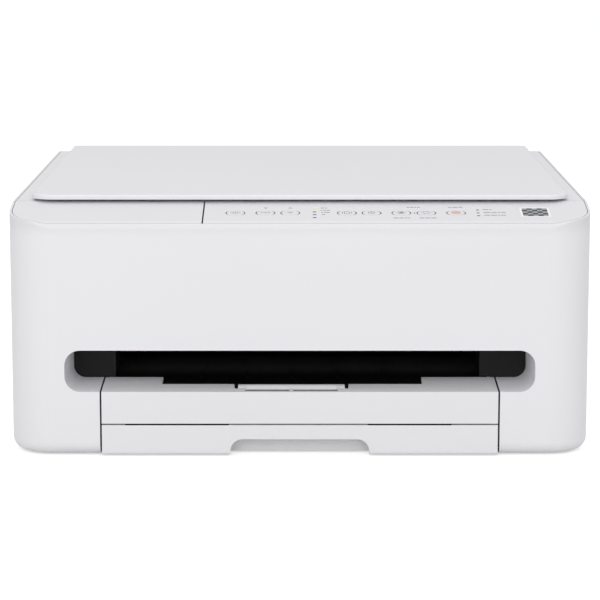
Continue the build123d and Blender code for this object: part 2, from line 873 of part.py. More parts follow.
# Platen with its ribs, and the round guide behind it that turns the sheet over
with BuildPart() as platen:
    platen_front = eject_y + eject_radius + platen_roller_gap
    platen_back = feed_y - feed_radius - platen_roller_gap
    with BuildSketch(Plane.YZ.offset(cheek_left + seat_gap)):
        with BuildLine():
            Polyline(
                (platen_front, platen_z - platen_thickness),
                (platen_front, platen_z),
                (platen_back, platen_z),
                (platen_back, web_z + platen_thickness),
                (plate_y - seat_gap, web_z + platen_thickness),
                (plate_y - seat_gap, web_z),
                (platen_back - platen_thickness, web_z),
                (platen_back - platen_thickness, platen_z - platen_thickness),
                close=True,
            )
        make_face()
    extrude(amount=cheek_right - cheek_left - 2 * seat_gap)
    with BuildSketch(Plane.YZ.offset(-guide_half_width)):
        with BuildLine():
            guide_front = feed_y + feed_radius + guide_roller_gap
            Polyline(
                (turn_y, turn_z + turn_radius),
                (guide_front, feed_z - platen_thickness),
                (guide_front, web_z),
                (turn_y - 2 * turn_radius, turn_z - turn_radius),
                (turn_y, turn_z - turn_radius),
            )
            CenterArc((turn_y, turn_z), turn_radius, -90, 180)
        make_face()
    extrude(amount=2 * guide_half_width)
    with BuildSketch(Plane.XY.offset(platen_z)):
        with Locations(((cheek_left + cheek_right) / 2, (platen_front + platen_back) / 2)):
            platen_rib_pitch = (cheek_right - cheek_left - 2 * platen_rib_margin) / (platen_rib_count - 1)
            with GridLocations(platen_rib_pitch, 1, platen_rib_count, 1):
                Rectangle(platen_rib_width, platen_back - platen_front)
    extrude(amount=platen_rib_height)
    slab(-arm_notch, arm_notch, plate_y, case_depth, 0,
         pickup_z + pickup_roller_radius + 1, Mode.SUBTRACT)
    rod_x(-arm_notch - pickup_shaft_seat, arm_notch + pickup_shaft_seat, pickup_y, pickup_z,
          pickup_shaft_radius + running_gap, Mode.SUBTRACT)
platen.part.label = "platen"

# Holder over the star wheels, an upturned channel between the cheeks
with BuildPart() as star_wheel_bar:
    bar_top = star_z + star_radius + bar_room
    bar_front = eject_y - star_radius - bar_room
    bar_back = eject_y + star_radius + bar_room
    slab(cheek_left + seat_gap, cheek_right - seat_gap, bar_front, bar_back,
         star_z - star_radius / 2, bar_top)
    slab(cheek_left + bar_wall, cheek_right - bar_wall, bar_front + bar_wall, bar_back - bar_wall,
         0, bar_top - bar_wall, Mode.SUBTRACT)
    rod_x(cheek_left, cheek_right, eject_y, star_z, axle_radius + running_gap, Mode.SUBTRACT)
star_wheel_bar.part.label = "star_wheel_bar"

# Maintenance unit under the parked print head, with its two sealing caps
with BuildPart() as purge_unit:
    purge_top = head_low - cap_height
    purge_left = cheek_right + sheet_steel + 2 * seat_gap
    purge_wall_x = bay_half + 3 * bay_wall + seat_gap
    with BuildSketch(Plane.XZ.offset(-head_back - purge_margin)):
        with BuildLine():
            Polyline(
                (purge_right, floor_z),
                (purge_right, purge_top),
                (purge_left, purge_top),
                (purge_left, bay_top + seat_gap),
                (purge_wall_x, bay_top + seat_gap),
                (purge_wall_x, floor_z),
                close=True,
            )
        make_face()
    extrude(amount=head_back - head_front + 2 * purge_margin)
    with BuildSketch(Plane.XY.offset(purge_top)):
        with Locations((carriage_park + cap_shift, (head_front + head_back) / 2)):
            with GridLocations(cap_pitch, 1, 2, 1):
                cap_x = cap_pitch - 2 * cap_wall
                cap_y = head_back - head_front - cap_wall
                RectangleRounded(cap_x, cap_y, cap_corner)
                RectangleRounded(cap_x - 2 * cap_wall, cap_y - 2 * cap_wall, cap_corner / 2,
                                 mode=Mode.SUBTRACT)
    extrude(amount=cap_height - seat_gap)
purge_unit.part.label = "purge_unit"

# Power supply box in the left of the base
with BuildPart() as power_supply:
    supply_left = -half_width + bottom_edge_radius
    supply_right = -bay_half - 4 * bay_wall
    slab(supply_left, supply_right, supply_front, supply_front + supply_length,
         floor_z + pan_floor, floor_z + supply_height)
    fillet(power_supply.edges().filter_by(Axis.Z), supply_corner)
    slab(supply_left + supply_plinth, supply_right, supply_front + supply_plinth,
         supply_front + supply_length - supply_plinth, floor_z, floor_z + pan_floor)
    with BuildSketch(Plane.XY.offset(floor_z + supply_height)):
        with Locations(((supply_left + supply_right) / 2, supply_front + supply_length / 2)):
            with GridLocations(1, vent_pitch, 1, vent_count):
                SlotOverall(vent_length, vent_width)
    extrude(amount=-vent_depth, mode=Mode.SUBTRACT)
power_supply.part.label = "power_supply"

# Main board, upright in the right of the base, with its chips
with BuildPart() as main_board:
    slab(board_x, board_x + board_thickness, board_front, board_front + board_length,
         floor_z + pan_floor, board_top)
    for chip in chips:
        chip_y = board_front + chip["along"]
        chip_z = floor_z + chip["up"]
        chip_half = chip["size"] / 2
        slab(board_x - chip_thickness, board_x, chip_y - chip_half, chip_y + chip_half,
             chip_z - chip_half, chip_z + chip_half)
main_board.part.label = "main_board"

# Two-pin power inlet in the back of the case
with BuildPart() as power_inlet:
    socket_back = half_depth - case_wall / 2
    with BuildSketch(Plane.XZ.offset(-socket_back)):
        with Locations((inlet_x, inlet_z)):
            RectangleRounded(inlet_width - 2 * pan_margin, inlet_height - 2 * pan_margin, inlet_corner)
    extrude(amount=socket_length)
    with BuildSketch(Plane.XZ.offset(-socket_back)):
        with Locations((inlet_x, inlet_z)):
            SlotOverall(inlet_mouth, inlet_mouth_height)
            with GridLocations(inlet_mouth_height, 1, 2, 1):
                Circle(inlet_pin_radius, mode=Mode.SUBTRACT)
    extrude(amount=socket_length - socket_end, mode=Mode.SUBTRACT)
power_inlet.part.label = "power_inlet"

# Square data port in the back of the case
with BuildPart() as usb_port:
    with BuildSketch(Plane.XZ.offset(-socket_back)):
        with Locations((usb_x, usb_z)):
            usb_x_outside = usb_width - 2 * pan_margin
            usb_z_outside = usb_height - 2 * pan_margin
            Rectangle(usb_x_outside, usb_z_outside)
            Rectangle(usb_x_outside - 2 * usb_wall, usb_z_outside - 2 * usb_wall, mode=Mode.SUBTRACT)
    extrude(amount=socket_length)
    slab(usb_x - usb_x_outside / 2 + usb_wall / 2, usb_x + usb_x_outside / 2 - usb_wall / 2,
         socket_back - socket_length, socket_back - socket_length + usb_end,
         usb_z - usb_z_outside / 2 + usb_wall / 2, usb_z + usb_z_outside / 2 - usb_wall / 2)
    slab(usb_x - usb_tongue_half, usb_x + usb_tongue_half,
         socket_back - socket_length, socket_back - usb_end,
         usb_z - usb_tongue_thickness / 2, usb_z + usb_tongue_thickness / 2)
usb_port.part.label = "usb_port"

# Feed motor in its cradle on the base pan, its shaft bore towards the gears
with BuildPart() as feed_motor:
    motor_face = gear_x - gear_gap
    rod_x(motor_face - feed_motor_length, motor_face, pinion_y, pinion_z, motor_radius)
    rod_x(motor_face - motor_bore_depth, motor_face, pinion_y, pinion_z,
          motor_shaft_radius + running_gap, Mode.SUBTRACT)
    chamfer(feed_motor.faces().sort_by(Axis.X)[0].edges(), motor_edge)
feed_motor.part.label = "feed_motor"

# Carriage motor behind the chassis
with BuildPart() as carriage_motor:
    plate_back = plate_y + sheet_steel
    rod_y(plate_back, plate_back + carriage_motor_length, -pulley_x, pulley_z, motor_radius)
    rod_y(plate_back, plate_back + motor_bore_depth, -pulley_x, pulley_z,
          pulley_shaft_radius + running_gap, Mode.SUBTRACT)
    chamfer(carriage_motor.faces().sort_by(Axis.Y)[-1].edges(), motor_edge)
carriage_motor.part.label = "carriage_motor"

# Belt round both pulleys
with BuildPart() as carriage_belt:
    belt_inner = pulley_radius + 2 * running_gap
    with BuildSketch(Plane.XZ.offset(-belt_y - belt_width / 2)):
        with Locations((0, pulley_z)):
            SlotCenterToCenter(2 * pulley_x, 2 * (belt_inner + belt_thickness))
            SlotCenterToCenter(2 * pulley_x, 2 * belt_inner, mode=Mode.SUBTRACT)
    extrude(amount=belt_width)
carriage_belt.part.label = "carriage_belt"

# Steel pins on which the scanner unit tips, fixed in the side walls
with BuildPart() as hinge_pins:
    for side in (-1, 1):
        rod_x(*mirrored(side, half_width - case_wall - hinge_pin_length, half_width - rim_wall),
              hinge_y, hinge_z, hinge_pin_radius)
hinge_pins.part.label = "hinge_pins"

# Feed roller: shaft, rubber sleeve and the gear outside the left cheek
with BuildPart() as feed_roller:
    rod_x(gear_x, cheek_right + sheet_steel + seat_gap, feed_y, feed_z, feed_shaft_radius)
    rod_x(-guide_half_width, guide_half_width, feed_y, feed_z, feed_radius)
    feed_first = meshed_tooth(0, feed_teeth, feed_direction)
    with BuildSketch(Plane.YZ.offset(gear_x)):
        gear_face(feed_teeth, feed_y, feed_z, feed_first)
    extrude(amount=gear_width)
feed_roller.part.label = "feed_roller"

# Eject roller: shaft with spaced rubber tyres and its gear
with BuildPart() as eject_roller:
    rod_x(gear_x, cheek_right + sheet_steel + seat_gap, eject_y, eject_z, eject_shaft_radius)
    for number in range(star_count):
        tyre_x = (number - (star_count - 1) / 2) * star_pitch
        rod_x(tyre_x - tyre_width / 2, tyre_x + tyre_width / 2, eject_y, eject_z, eject_radius)
    eject_first = meshed_tooth(0, eject_teeth, eject_direction)
    with BuildSketch(Plane.YZ.offset(gear_x)):
        gear_face(eject_teeth, eject_y, eject_z, eject_first)
    extrude(amount=gear_width)
eject_roller.part.label = "eject_roller"

# Idler gear that drives both rollers, on its stub axle
with BuildPart() as idler_gear:
    with BuildSketch(Plane.YZ.offset(gear_x)):
        gear_face(idler_teeth, idler_y, idler_z, 0)
        with Locations((idler_y, idler_z)):
            Circle(eject_shaft_radius + running_gap, mode=Mode.SUBTRACT)
            with PolarLocations(idler_hole_orbit, idler_hole_count):
                Circle(idler_hole_radius, mode=Mode.SUBTRACT)
    extrude(amount=gear_width)
idler_gear.part.label = "idler_gear"

# Pinion on the feed motor's shaft
with BuildPart() as feed_pinion:
    pinion_first = meshed_tooth(0, pinion_teeth, pinion_angle)
    with BuildSketch(Plane.YZ.offset(gear_x)):
        gear_face(pinion_teeth, pinion_y, pinion_z, pinion_first)
    extrude(amount=gear_width)
    rod_x(gear_x - gear_gap - motor_bore_depth + seat_gap, gear_x, pinion_y, pinion_z, motor_shaft_radius)
feed_pinion.part.label = "feed_pinion"

# Star wheels over the eject roller's tyres, pressed on one thin axle
with BuildPart() as star_wheels:
    rod_x(*cheek_span, eject_y, star_z, axle_radius)
    with BuildSketch(Plane.YZ.offset(-(star_count - 1) / 2 * star_pitch - star_thickness / 2)) as star:
        star_points = []
        for point in range(2 * star_tips):
            reach = star_radius if point % 2 else star_radius * star_root
            turn = pi * point / star_tips
            star_points.append((eject_y + reach * cos(turn), star_z + reach * sin(turn)))
        with BuildLine():
            Polyline(*star_points, close=True)
        make_face()
    for number in range(star_count):
        star_x = number * star_pitch
        extrude(star.sketch.moved(Location((star_x, 0, 0))), amount=star_thickness)
star_wheels.part.label = "star_wheels"

# Pinch rollers over the feed roller
with BuildPart() as pinch_rollers:
    rod_x(*cheek_span, feed_y, pinch_z, axle_radius)
    for number in range(pinch_count):
        pinch_x = (number - (pinch_count - 1) / 2) * pinch_pitch
        rod_x(pinch_x - pinch_length / 2, pinch_x + pinch_length / 2, feed_y, pinch_z, pinch_radius)
pinch_rollers.part.label = "pinch_rollers"

# Flanged pulleys at the two ends of the belt
with BuildPart() as drive_pulley:
    pulley_profile(-pulley_x)
drive_pulley.part.label = "drive_pulley"

with BuildPart() as idler_pulley:
    pulley_profile(pulley_x)
idler_pulley.part.label = "idler_pulley"

# Carriage: open cradle with two bays, the print head below and the rail slot and belt clamp behind
with BuildPart() as carriage:
    carriage_left = carriage_park - carriage_width / 2
    carriage_right = carriage_park + carriage_width / 2
    slab(carriage_left, carriage_right, carriage_front, carriage_back, cradle_floor, carriage_top)
    slab(carriage_left, carriage_right, head_front - head_shoulder, carriage_back,
         carriage_low, cradle_floor)
    fillet(carriage.edges().filter_by(Axis.Z).group_by(Axis.Y)[0], carriage_corner)
    for bay in (-1, 1):
        bay_x = carriage_park + bay * bay_pitch / 2
        slab(bay_x - bay_clear / 2, bay_x + bay_clear / 2, carriage_front + cradle_wall,
             carriage_back - rail_slot_depth - cradle_wall, cradle_floor + cradle_wall, carriage_top + 1,
             Mode.SUBTRACT)
        slab(bay_x - bay_clear / 2, bay_x + bay_clear / 2, carriage_front - 1,
             carriage_front + finger_notch_depth, carriage_top - finger_notch_height, carriage_top + 1,
             Mode.SUBTRACT)
        for ear in (-1, 1):
            ear_x = bay_x + ear * (latch_width / 2 + ear_gap + latch_ear / 2)
            slab(ear_x - latch_ear / 2, ear_x + latch_ear / 2, latch_y - latch_post, latch_y + latch_post,
                 carriage_top - latch_root, latch_z + axle_radius + 1)
            rod_x(ear_x - latch_ear / 2 - ear_gap, ear_x + latch_ear / 2, latch_y, latch_z,
                  axle_radius + running_gap, Mode.SUBTRACT)
    slab(carriage_park - head_width / 2, carriage_park + head_width / 2, head_front, head_back,
         head_low, carriage_low)
    chamfer(carriage.faces().sort_by(Axis.Z)[0].edges(), 1)
    slab(carriage_left, carriage_right, carriage_back - rail_slot_depth, carriage_back,
         rail_z - rail_slot_gap, rail_z + sheet_steel + rail_slot_gap, Mode.SUBTRACT)
    belt_run = pulley_z - belt_inner - belt_thickness
    clamp_low = rail_z + sheet_steel + rail_slot_gap
    clamp_back = belt_y + belt_width / 2 + clamp_wall
    slab(carriage_park - clamp_width / 2, carriage_park + clamp_width / 2, carriage_back,
         clamp_back, clamp_low, belt_run + belt_thickness + clamp_cap)
    slab(carriage_park - clamp_width / 2, carriage_park + clamp_width / 2,
         belt_y - belt_width / 2 - seat_gap, clamp_back,
         belt_run - seat_gap, belt_run + belt_thickness + seat_gap, Mode.SUBTRACT)
carriage.part.label = "carriage"

# Ink cartridges with a stepped front and a finger ridge
for name, bay in (("black_cartridge", -1), ("colour_cartridge", 1)):
    with BuildPart() as cartridge:
        bay_x = carriage_park + bay * bay_pitch / 2
        low_y = carriage_front + cradle_wall + seat_gap
        high_y = carriage_back - rail_slot_depth - cradle_wall - seat_gap
        low_z = cradle_floor + cradle_wall
        with BuildSketch(Plane.YZ.offset(bay_x - cartridge_width / 2)):
            with BuildLine():
                shoulder_z = cartridge_top - cartridge_step
                Polyline(
                    (low_y, low_z),
                    (low_y, cartridge_top - cartridge_nose),
                    (low_y + cartridge_slope, shoulder_z),
                    (low_y + cartridge_ridge, shoulder_z),
                    (low_y + cartridge_ridge, cartridge_top),
                    (high_y, cartridge_top),
                    (high_y, low_z),
                    close=True,
                )
            make_face()
        extrude(amount=cartridge_width)
        fillet(cartridge.edges().filter_by(Axis.Z).group_by(Axis.Y)[-1], cartridge_corner)
    cartridge.part.label = name
    pieces.append(cartridge)

# Levers that hold the cartridges down
for name, bay in (("black_latch", -1), ("colour_latch", 1)):
    with BuildPart() as latch:
        bay_x = carriage_park + bay * bay_pitch / 2
        with BuildSketch(Plane.YZ.offset(bay_x - latch_width / 2)):
            with BuildLine():
                Polyline(
                    (latch_y + latch_heel, latch_z - latch_half),
                    (latch_y + latch_heel, latch_z + latch_half),
                    (latch_front + latch_nose, latch_z + latch_half),
                    (latch_front, latch_z - latch_half / 2),
                    (latch_front, latch_z - latch_heel),
                    (latch_front + latch_heel, latch_z - latch_heel),
                    (latch_front + latch_nose, latch_z - latch_half / 4),
                    (latch_y - latch_nose, latch_z - latch_half / 4),
                    (latch_y - latch_heel, latch_z - latch_half),
                    close=True,
                )
            make_face()
        extrude(amount=latch_width)
        latch_pin_half = latch_width / 2 + latch_ear
        rod_x(bay_x - latch_pin_half, bay_x + latch_pin_half, latch_y, latch_z, axle_radius)
    latch.part.label = name
    pieces.append(latch)

# Pickup arm: cross shaft with a fork
with BuildPart() as pickup_arm:
    pickup_shaft_half = arm_notch + pickup_shaft_seat - pickup_end_gap
    rod_x(-pickup_shaft_half, pickup_shaft_half, pickup_y, pickup_z, pickup_shaft_radius)
    for side in (-1, 1):
        fork_inner = pickup_roller_width / 2 + seat_gap
        fork = mirrored(side, fork_inner, fork_inner + fork_wall)
        with BuildSketch(Plane.YZ.offset(fork[0])):
            with Locations((pickup_y + pickup_reach / 2, pickup_z)):
                SlotCenterToCenter(pickup_reach, 2 * pickup_shaft_radius + 2)
        extrude(amount=fork_wall)
    fork_outer = fork_inner + fork_wall
    slab(-fork_outer, fork_outer, pickup_y, pickup_y + pickup_reach - pickup_roller_radius - 2,
         pickup_z - fork_web / 2, pickup_z + fork_web / 2)
    rod_x(-fork_outer, fork_outer, pickup_y + pickup_reach, pickup_z,
          pickup_axle_radius + running_gap, Mode.SUBTRACT)
pickup_arm.part.label = "pickup_arm"

# Pickup roller with its axle
with BuildPart() as pickup_roller:
    rod_x(-pickup_roller_width / 2, pickup_roller_width / 2, pickup_y + pickup_reach, pickup_z,
          pickup_roller_radius)
    rod_x(-fork_outer, fork_outer, pickup_y + pickup_reach, pickup_z, pickup_axle_radius)
pickup_roller.part.label = "pickup_roller"

# Cassette tray: shallow box with a ramp at the back and the pinion boss in its floor
with BuildPart() as cassette_tray:
    slab(-cassette_width / 2, cassette_width / 2, cassette_front_back, cassette_back,
         cassette_z, cassette_height)
    slab(-cassette_width / 2 + cassette_wall, cassette_width / 2 - cassette_wall,
         cassette_front_back + cassette_wall, cassette_back - 2 * cassette_wall,
         cassette_floor, rim_height, Mode.SUBTRACT)
    chamfer(cassette_tray.edges().filter_by(Axis.X).group_by(Axis.Z)[-1].sort_by(Axis.Y)[-2], cassette_wall)
    fillet(cassette_tray.edges().filter_by(Axis.Z).group_by(Axis.Y)[-1], cassette_corner)
    with BuildSketch(Plane.XY.offset(cassette_floor)):
        with Locations((0, rack_y)):
            Circle(pinion_boss_radius)
    extrude(amount=rack_thickness + seat_gap)
cassette_tray.part.label = "cassette_tray"

# Cassette front with the finger scoop at its lower edge
with BuildPart() as cassette_front:
    slab(-bay_side, bay_side, front_y, cassette_front_back, cassette_front_low, cassette_front_high)
    front_edges = cassette_front.edges().filter_by(Axis.X).group_by(Axis.Y)[0]
    fillet(front_edges.sort_by(Axis.Z)[0], front_lower_radius)
    with BuildSketch(Plane.XZ.offset(-front_y)):
        RectangleRounded(scoop_width, 2 * scoop_height, scoop_radius)
    extrude(amount=-scoop_depth, mode=Mode.SUBTRACT)
    for side in (-1, 1):
        slab(*mirrored(side, scoop_width / 2 + cassette_wall, bay_side - cassette_wall),
             front_y + cassette_wall, cassette_front_back, cassette_z, cassette_front_high - cassette_wall,
             Mode.SUBTRACT)
cassette_front.part.label = "cassette_front"

# Side guides for the paper, each with a rack towards the pinion
for name, side in (("left_paper_guide", -1), ("right_paper_guide", 1)):
    with BuildPart() as paper_guide:
        guide_z = cassette_floor + seat_gap
        guide_near = sheet_width / 2 + seat_gap
        guide_far = guide_near + guide_wall
        foot_top = guide_z + rack_thickness + seat_gap
        slab(*mirrored(side, guide_near, guide_far), rack_y - guide_length / 2, rack_y + guide_length / 2,
             foot_top, guide_height)
        for base_y in (rack_y - guide_length / 2, rack_y + guide_length / 2 - guide_foot):
            slab(*mirrored(side, sheet_width / 2 - guide_foot, guide_far),
                 base_y, base_y + guide_foot, guide_z, foot_top)
        rack_middle = rack_y - side * (pinion_pitch_radius + rack_width / 2 + rack_clear)
        slab(*mirrored(side, -rack_overlap, guide_far),
             rack_middle - rack_width / 2, rack_middle + rack_width / 2, guide_z, guide_z + rack_thickness)
        slab(*mirrored(side, guide_near, guide_far),
             rack_middle - rack_width / 2, rack_middle + rack_width / 2, guide_z, foot_top)
    paper_guide.part.label = name
    pieces.append(paper_guide)

# Pinion that ties the two side guides together
with BuildPart() as guide_pinion:
    with BuildSketch(Plane.XY.offset(cassette_floor + seat_gap)):
        with Locations((0, rack_y)):
            Circle(pinion_pitch_radius)
            Circle(pinion_boss_radius + running_gap, mode=Mode.SUBTRACT)
    extrude(amount=rack_thickness)
guide_pinion.part.label = "guide_pinion"

# End guide for the paper, which slides along the cassette floor
with BuildPart() as end_paper_guide:
    end_y = cassette_front_back + cassette_wall + seat_gap
    with BuildSketch(Plane.YZ.offset(-end_guide_width / 2)):
        with BuildLine():
            Polyline(
                (end_y, guide_z),
                (end_y, guide_height),
                (end_y + guide_wall, guide_height),
                (end_y + guide_wall, guide_z + 2 * rack_thickness),
                (end_y + end_guide_root, guide_z + rack_thickness),
                (end_y + end_guide_length, guide_z + rack_thickness),
                (end_y + end_guide_length, guide_z),
                close=True,
            )
        make_face()
    extrude(amount=end_guide_width)
    fillet(end_paper_guide.edges().filter_by(Axis.Z).group_by(Axis.Y)[-1], end_guide_corner)
end_paper_guide.part.label = "end_paper_guide"

# Output tray: white front and lip with the cut-out for the sheet stop, and a shelf behind them
with BuildPart() as output_tray:
    tray_side = bay_half - seat_gap - ledge_depth
    with BuildSketch(Plane.YZ.offset(-bay_side)):
        with BuildLine():
            Polyline(
                (front_y, tray_low), (front_y, tray_top_front), (pocket_back, tray_top_back),
                (pocket_back, tray_top_back - tray_wall), (front_y + tray_wall, tray_top_front - tray_wall),
                (front_y + tray_wall, tray_low), close=True,
            )
        make_face()
    extrude(amount=2 * bay_side)
    slab(notch_left, notch_right, front_y + notch_depth, pocket_back + 1,
         tray_top_front - 2 * tray_wall, tray_top_back + 1, Mode.SUBTRACT)
    lip_front = stop_y - stop_barrel_radius - stop_front_gap
    lip_low = tray_top_front - 2 * tray_wall
    with BuildSketch(Plane.XY.offset(lip_low)):
        Polygon(
            (stop_left - stop_side_gap, lip_front),
            (stop_right + stop_side_gap, lip_front),
            (stop_right + stop_side_gap + stop_side_flare, front_y + notch_depth + 1),
            (stop_left - stop_side_gap - stop_side_flare, front_y + notch_depth + 1),
            align=None,
        )
    extrude(amount=3 * tray_wall, mode=Mode.SUBTRACT)
    for hole_left, hole_right in (
        (stop_left + stop_hole_margin, stop_tooth_x - stop_tooth_width / 2),
        (stop_tooth_x + stop_tooth_width / 2, stop_right - stop_hole_margin),
    ):
        slab(hole_left, hole_right, front_y + tray_wall, lip_front + 1,
             lip_low, lip_low + 3 * tray_wall, Mode.SUBTRACT)
    for edge, side in ((stop_left, -1), (stop_right, 1)):
        lug = sorted((edge + side * stop_lug_start, edge + side * (stop_lug_start + stop_lug_width)))
        slab(*lug, stop_y - stop_lug_half, stop_y + stop_lug_half, stop_z - stop_lug_half,
             stop_z + stop_barrel_radius)
        rod_x(*sorted((edge, edge + side * (stop_pin_length + seat_gap))), stop_y, stop_z,
              stop_pin_radius + running_gap, Mode.SUBTRACT)
    slab(-tray_side, tray_side, front_y + tray_wall, tray_back, tray_shelf - tray_wall, tray_shelf)
    for side in (-1, 1):
        slab(*mirrored(side, tray_side - tray_wall, tray_side), front_y + tray_wall, tray_back,
             tray_low, tray_floor_top - seat_gap)
        slab(*mirrored(side, tray_side - 1, bay_half - seat_gap), pocket_back, tray_back,
             tray_shelf + seat_gap, tray_shelf + seat_gap + ledge_thickness)
output_tray.part.label = "output_tray"

# Black floor of the output tray
with BuildPart() as tray_floor:
    floor_front = front_y + notch_depth + seat_gap
    floor_half = tray_side - tray_wall - seat_gap
    slab(-floor_half, floor_half, pocket_back + seat_gap, tray_back,
         tray_floor_top - tray_floor_thickness, tray_floor_top)
    slab(notch_left + seat_gap, notch_right - seat_gap, floor_front, pocket_back + seat_gap,
         tray_floor_top - tray_floor_thickness, tray_floor_top)
    for rib in range(floor_rib_count):
        rib_x = (rib - (floor_rib_count - 1) / 2) * floor_rib_pitch + (notch_left + notch_right) / 2
        slab(rib_x - floor_rib_width / 2, rib_x + floor_rib_width / 2, pocket_back + floor_rib_front,
             tray_back - floor_rib_back, tray_floor_top, tray_floor_top + floor_rib_height)
    for side in (-1, 1):
        slab(*mirrored(side, floor_half + seat_gap - tray_foot, floor_half), pocket_back + tray_foot,
             tray_back, tray_shelf, tray_floor_top - tray_floor_thickness)
tray_floor.part.label = "tray_floor"

# Sheet stop: flap in the lip with a sloped finger edge, which turns up about its barrel
with BuildPart() as sheet_stop:
    with BuildSketch(Plane.YZ.offset(stop_left)):
        with BuildLine():
            stop_back = front_y + stop_depth
            stop_top = tray_top_front + stop_depth * lip_slope
            bevel_y = front_y + stop_bevel_depth
            bevel_z = tray_top_front + stop_bevel_depth * lip_slope
            bevel_low = bevel_z - (bevel_y - stop_y) * tan(radians(stop_bevel_angle))
            Polyline(
                (stop_y, bevel_low),
                (bevel_y, bevel_z),
                (stop_back, stop_top),
                (stop_back, stop_top - stop_thickness / 2),
                (stop_back - stop_thickness / 2, stop_top - stop_thickness),
                (bevel_y, bevel_z - stop_thickness),
                (stop_y, bevel_low - stop_thickness),
                close=True,
            )
        make_face()
    extrude(amount=stop_right - stop_left)
    rod_x(stop_left, stop_right, stop_y, stop_z, stop_barrel_radius)
    rod_x(stop_left - stop_pin_length, stop_right + stop_pin_length, stop_y, stop_z, stop_pin_radius)
sheet_stop.part.label = "sheet_stop"

# Rear access cover: flat panel on a hinge barrel, with curved ribs that finish the turn of the sheet
with BuildPart() as rear_cover:
    cover_half = rear_cover_width / 2 - seat_gap
    slab(-cover_half, cover_half, half_depth - case_wall, half_depth, rear_hinge_z,
         rear_cover_high - seat_gap)
    rod_x(-cover_half, cover_half, rear_hinge_y, rear_hinge_z, rear_barrel_radius)
    rod_x(-cover_half + barrel_plug, cover_half - barrel_plug, rear_hinge_y, rear_hinge_z,
          rear_barrel_radius - case_wall, Mode.SUBTRACT)
    rod_x(-rear_ear_far, rear_ear_far, rear_hinge_y, rear_hinge_z, rear_pin_radius)
    rod_x(-cover_half + barrel_plug, cover_half - barrel_plug, rear_hinge_y, rear_hinge_z,
          rear_pin_radius, Mode.SUBTRACT)
    rib_radius = turn_radius + turn_space
    rib_low, rib_high = (
        (turn_y + rib_radius * cos(radians(turn)), turn_z + rib_radius * sin(radians(turn)))
        for turn in (turn_rib_from, turn_rib_to)
    )
    for rib in range(turn_rib_count):
        rib_x = (rib - (turn_rib_count - 1) / 2) * turn_rib_pitch
        with BuildSketch(Plane.YZ.offset(rib_x - turn_rib_width / 2)):
            with BuildLine():
                CenterArc((turn_y, turn_z), rib_radius, turn_rib_from, turn_rib_to - turn_rib_from)
                Polyline(
                    rib_high,
                    (rib_high[0], turn_z + rib_radius + turn_rib_root),
                    (half_depth - case_wall, turn_z + rib_radius + turn_rib_root),
                    (half_depth - case_wall, rib_low[1]),
                    rib_low,
                )
            make_face()
        extrude(amount=turn_rib_width)
rear_cover.part.label = "rear_cover"

# Scanner base: tub with a round hinge barrel along its lower back edge
with BuildPart() as scanner_base:
    tub_inset = case_wall + unit_gap
    neck_inset = unit_inset + unit_wall + seat_gap
    tub_top = skirt_low - seat_gap
    neck_top = front_height - unit_wall - 2 * seat_gap
    unit_back = hinge_y + barrel_radius
    bar_front_y = hinge_y - barrel_radius - unit_wall
    bar_top_z = hinge_z + barrel_radius + unit_wall
    with BuildSketch(Plane.XY.offset(unit_low)):
        plan_outline(tub_inset)
    extrude(amount=tub_top - unit_low)
    with BuildSketch(Plane.XY.offset(tub_top)):
        plan_outline(neck_inset)
    extrude(amount=neck_top - tub_top)
    slab(tub_inset - half_width, half_width - tub_inset, hinge_y, unit_back, hinge_z, tub_top)
    slab(tub_inset - half_width, half_width - tub_inset, hinge_y, half_depth, 0, hinge_z, Mode.SUBTRACT)
    rod_x(tub_inset - half_width, half_width - tub_inset, hinge_y, hinge_z, barrel_radius)
    with BuildSketch(Plane.XY.offset(unit_low + unit_wall)):
        plan_outline(neck_inset + unit_wall)
        with Locations((0, bar_front_y + case_depth / 2)):
            Rectangle(case_width, case_depth, mode=Mode.SUBTRACT)
    extrude(amount=rim_height, mode=Mode.SUBTRACT)
    with BuildSketch(Plane.XY.offset(bar_top_z)):
        plan_outline(neck_inset + unit_wall)
        with Locations((0, hinge_y)):
            Rectangle(case_width - 2 * (neck_inset + unit_wall), 2 * (unit_back - unit_wall - hinge_y))
    extrude(amount=rim_height, mode=Mode.SUBTRACT)
    tube_end = half_width - tub_inset - hinge_pin_length - unit_wall
    rod_x(-tube_end, tube_end, hinge_y, hinge_z, barrel_radius - unit_wall, Mode.SUBTRACT)
    for side in (-1, 1):
        rod_x(*mirrored(side, half_width - tub_inset - hinge_pin_length, half_width - tub_inset),
              hinge_y, hinge_z, hinge_pin_radius + running_gap, Mode.SUBTRACT)
        post_far = half_width - neck_inset - unit_wall
        slab(*mirrored(side, post_far - rail_post, post_far), glass_y - rail_post, glass_y + rail_post,
             unit_low + unit_wall, scan_rail_z + rail_post)
    rod_x(-post_far, post_far, glass_y, scan_rail_z, rail_radius + running_gap, Mode.SUBTRACT)
scanner_base.part.label = "scanner_base"

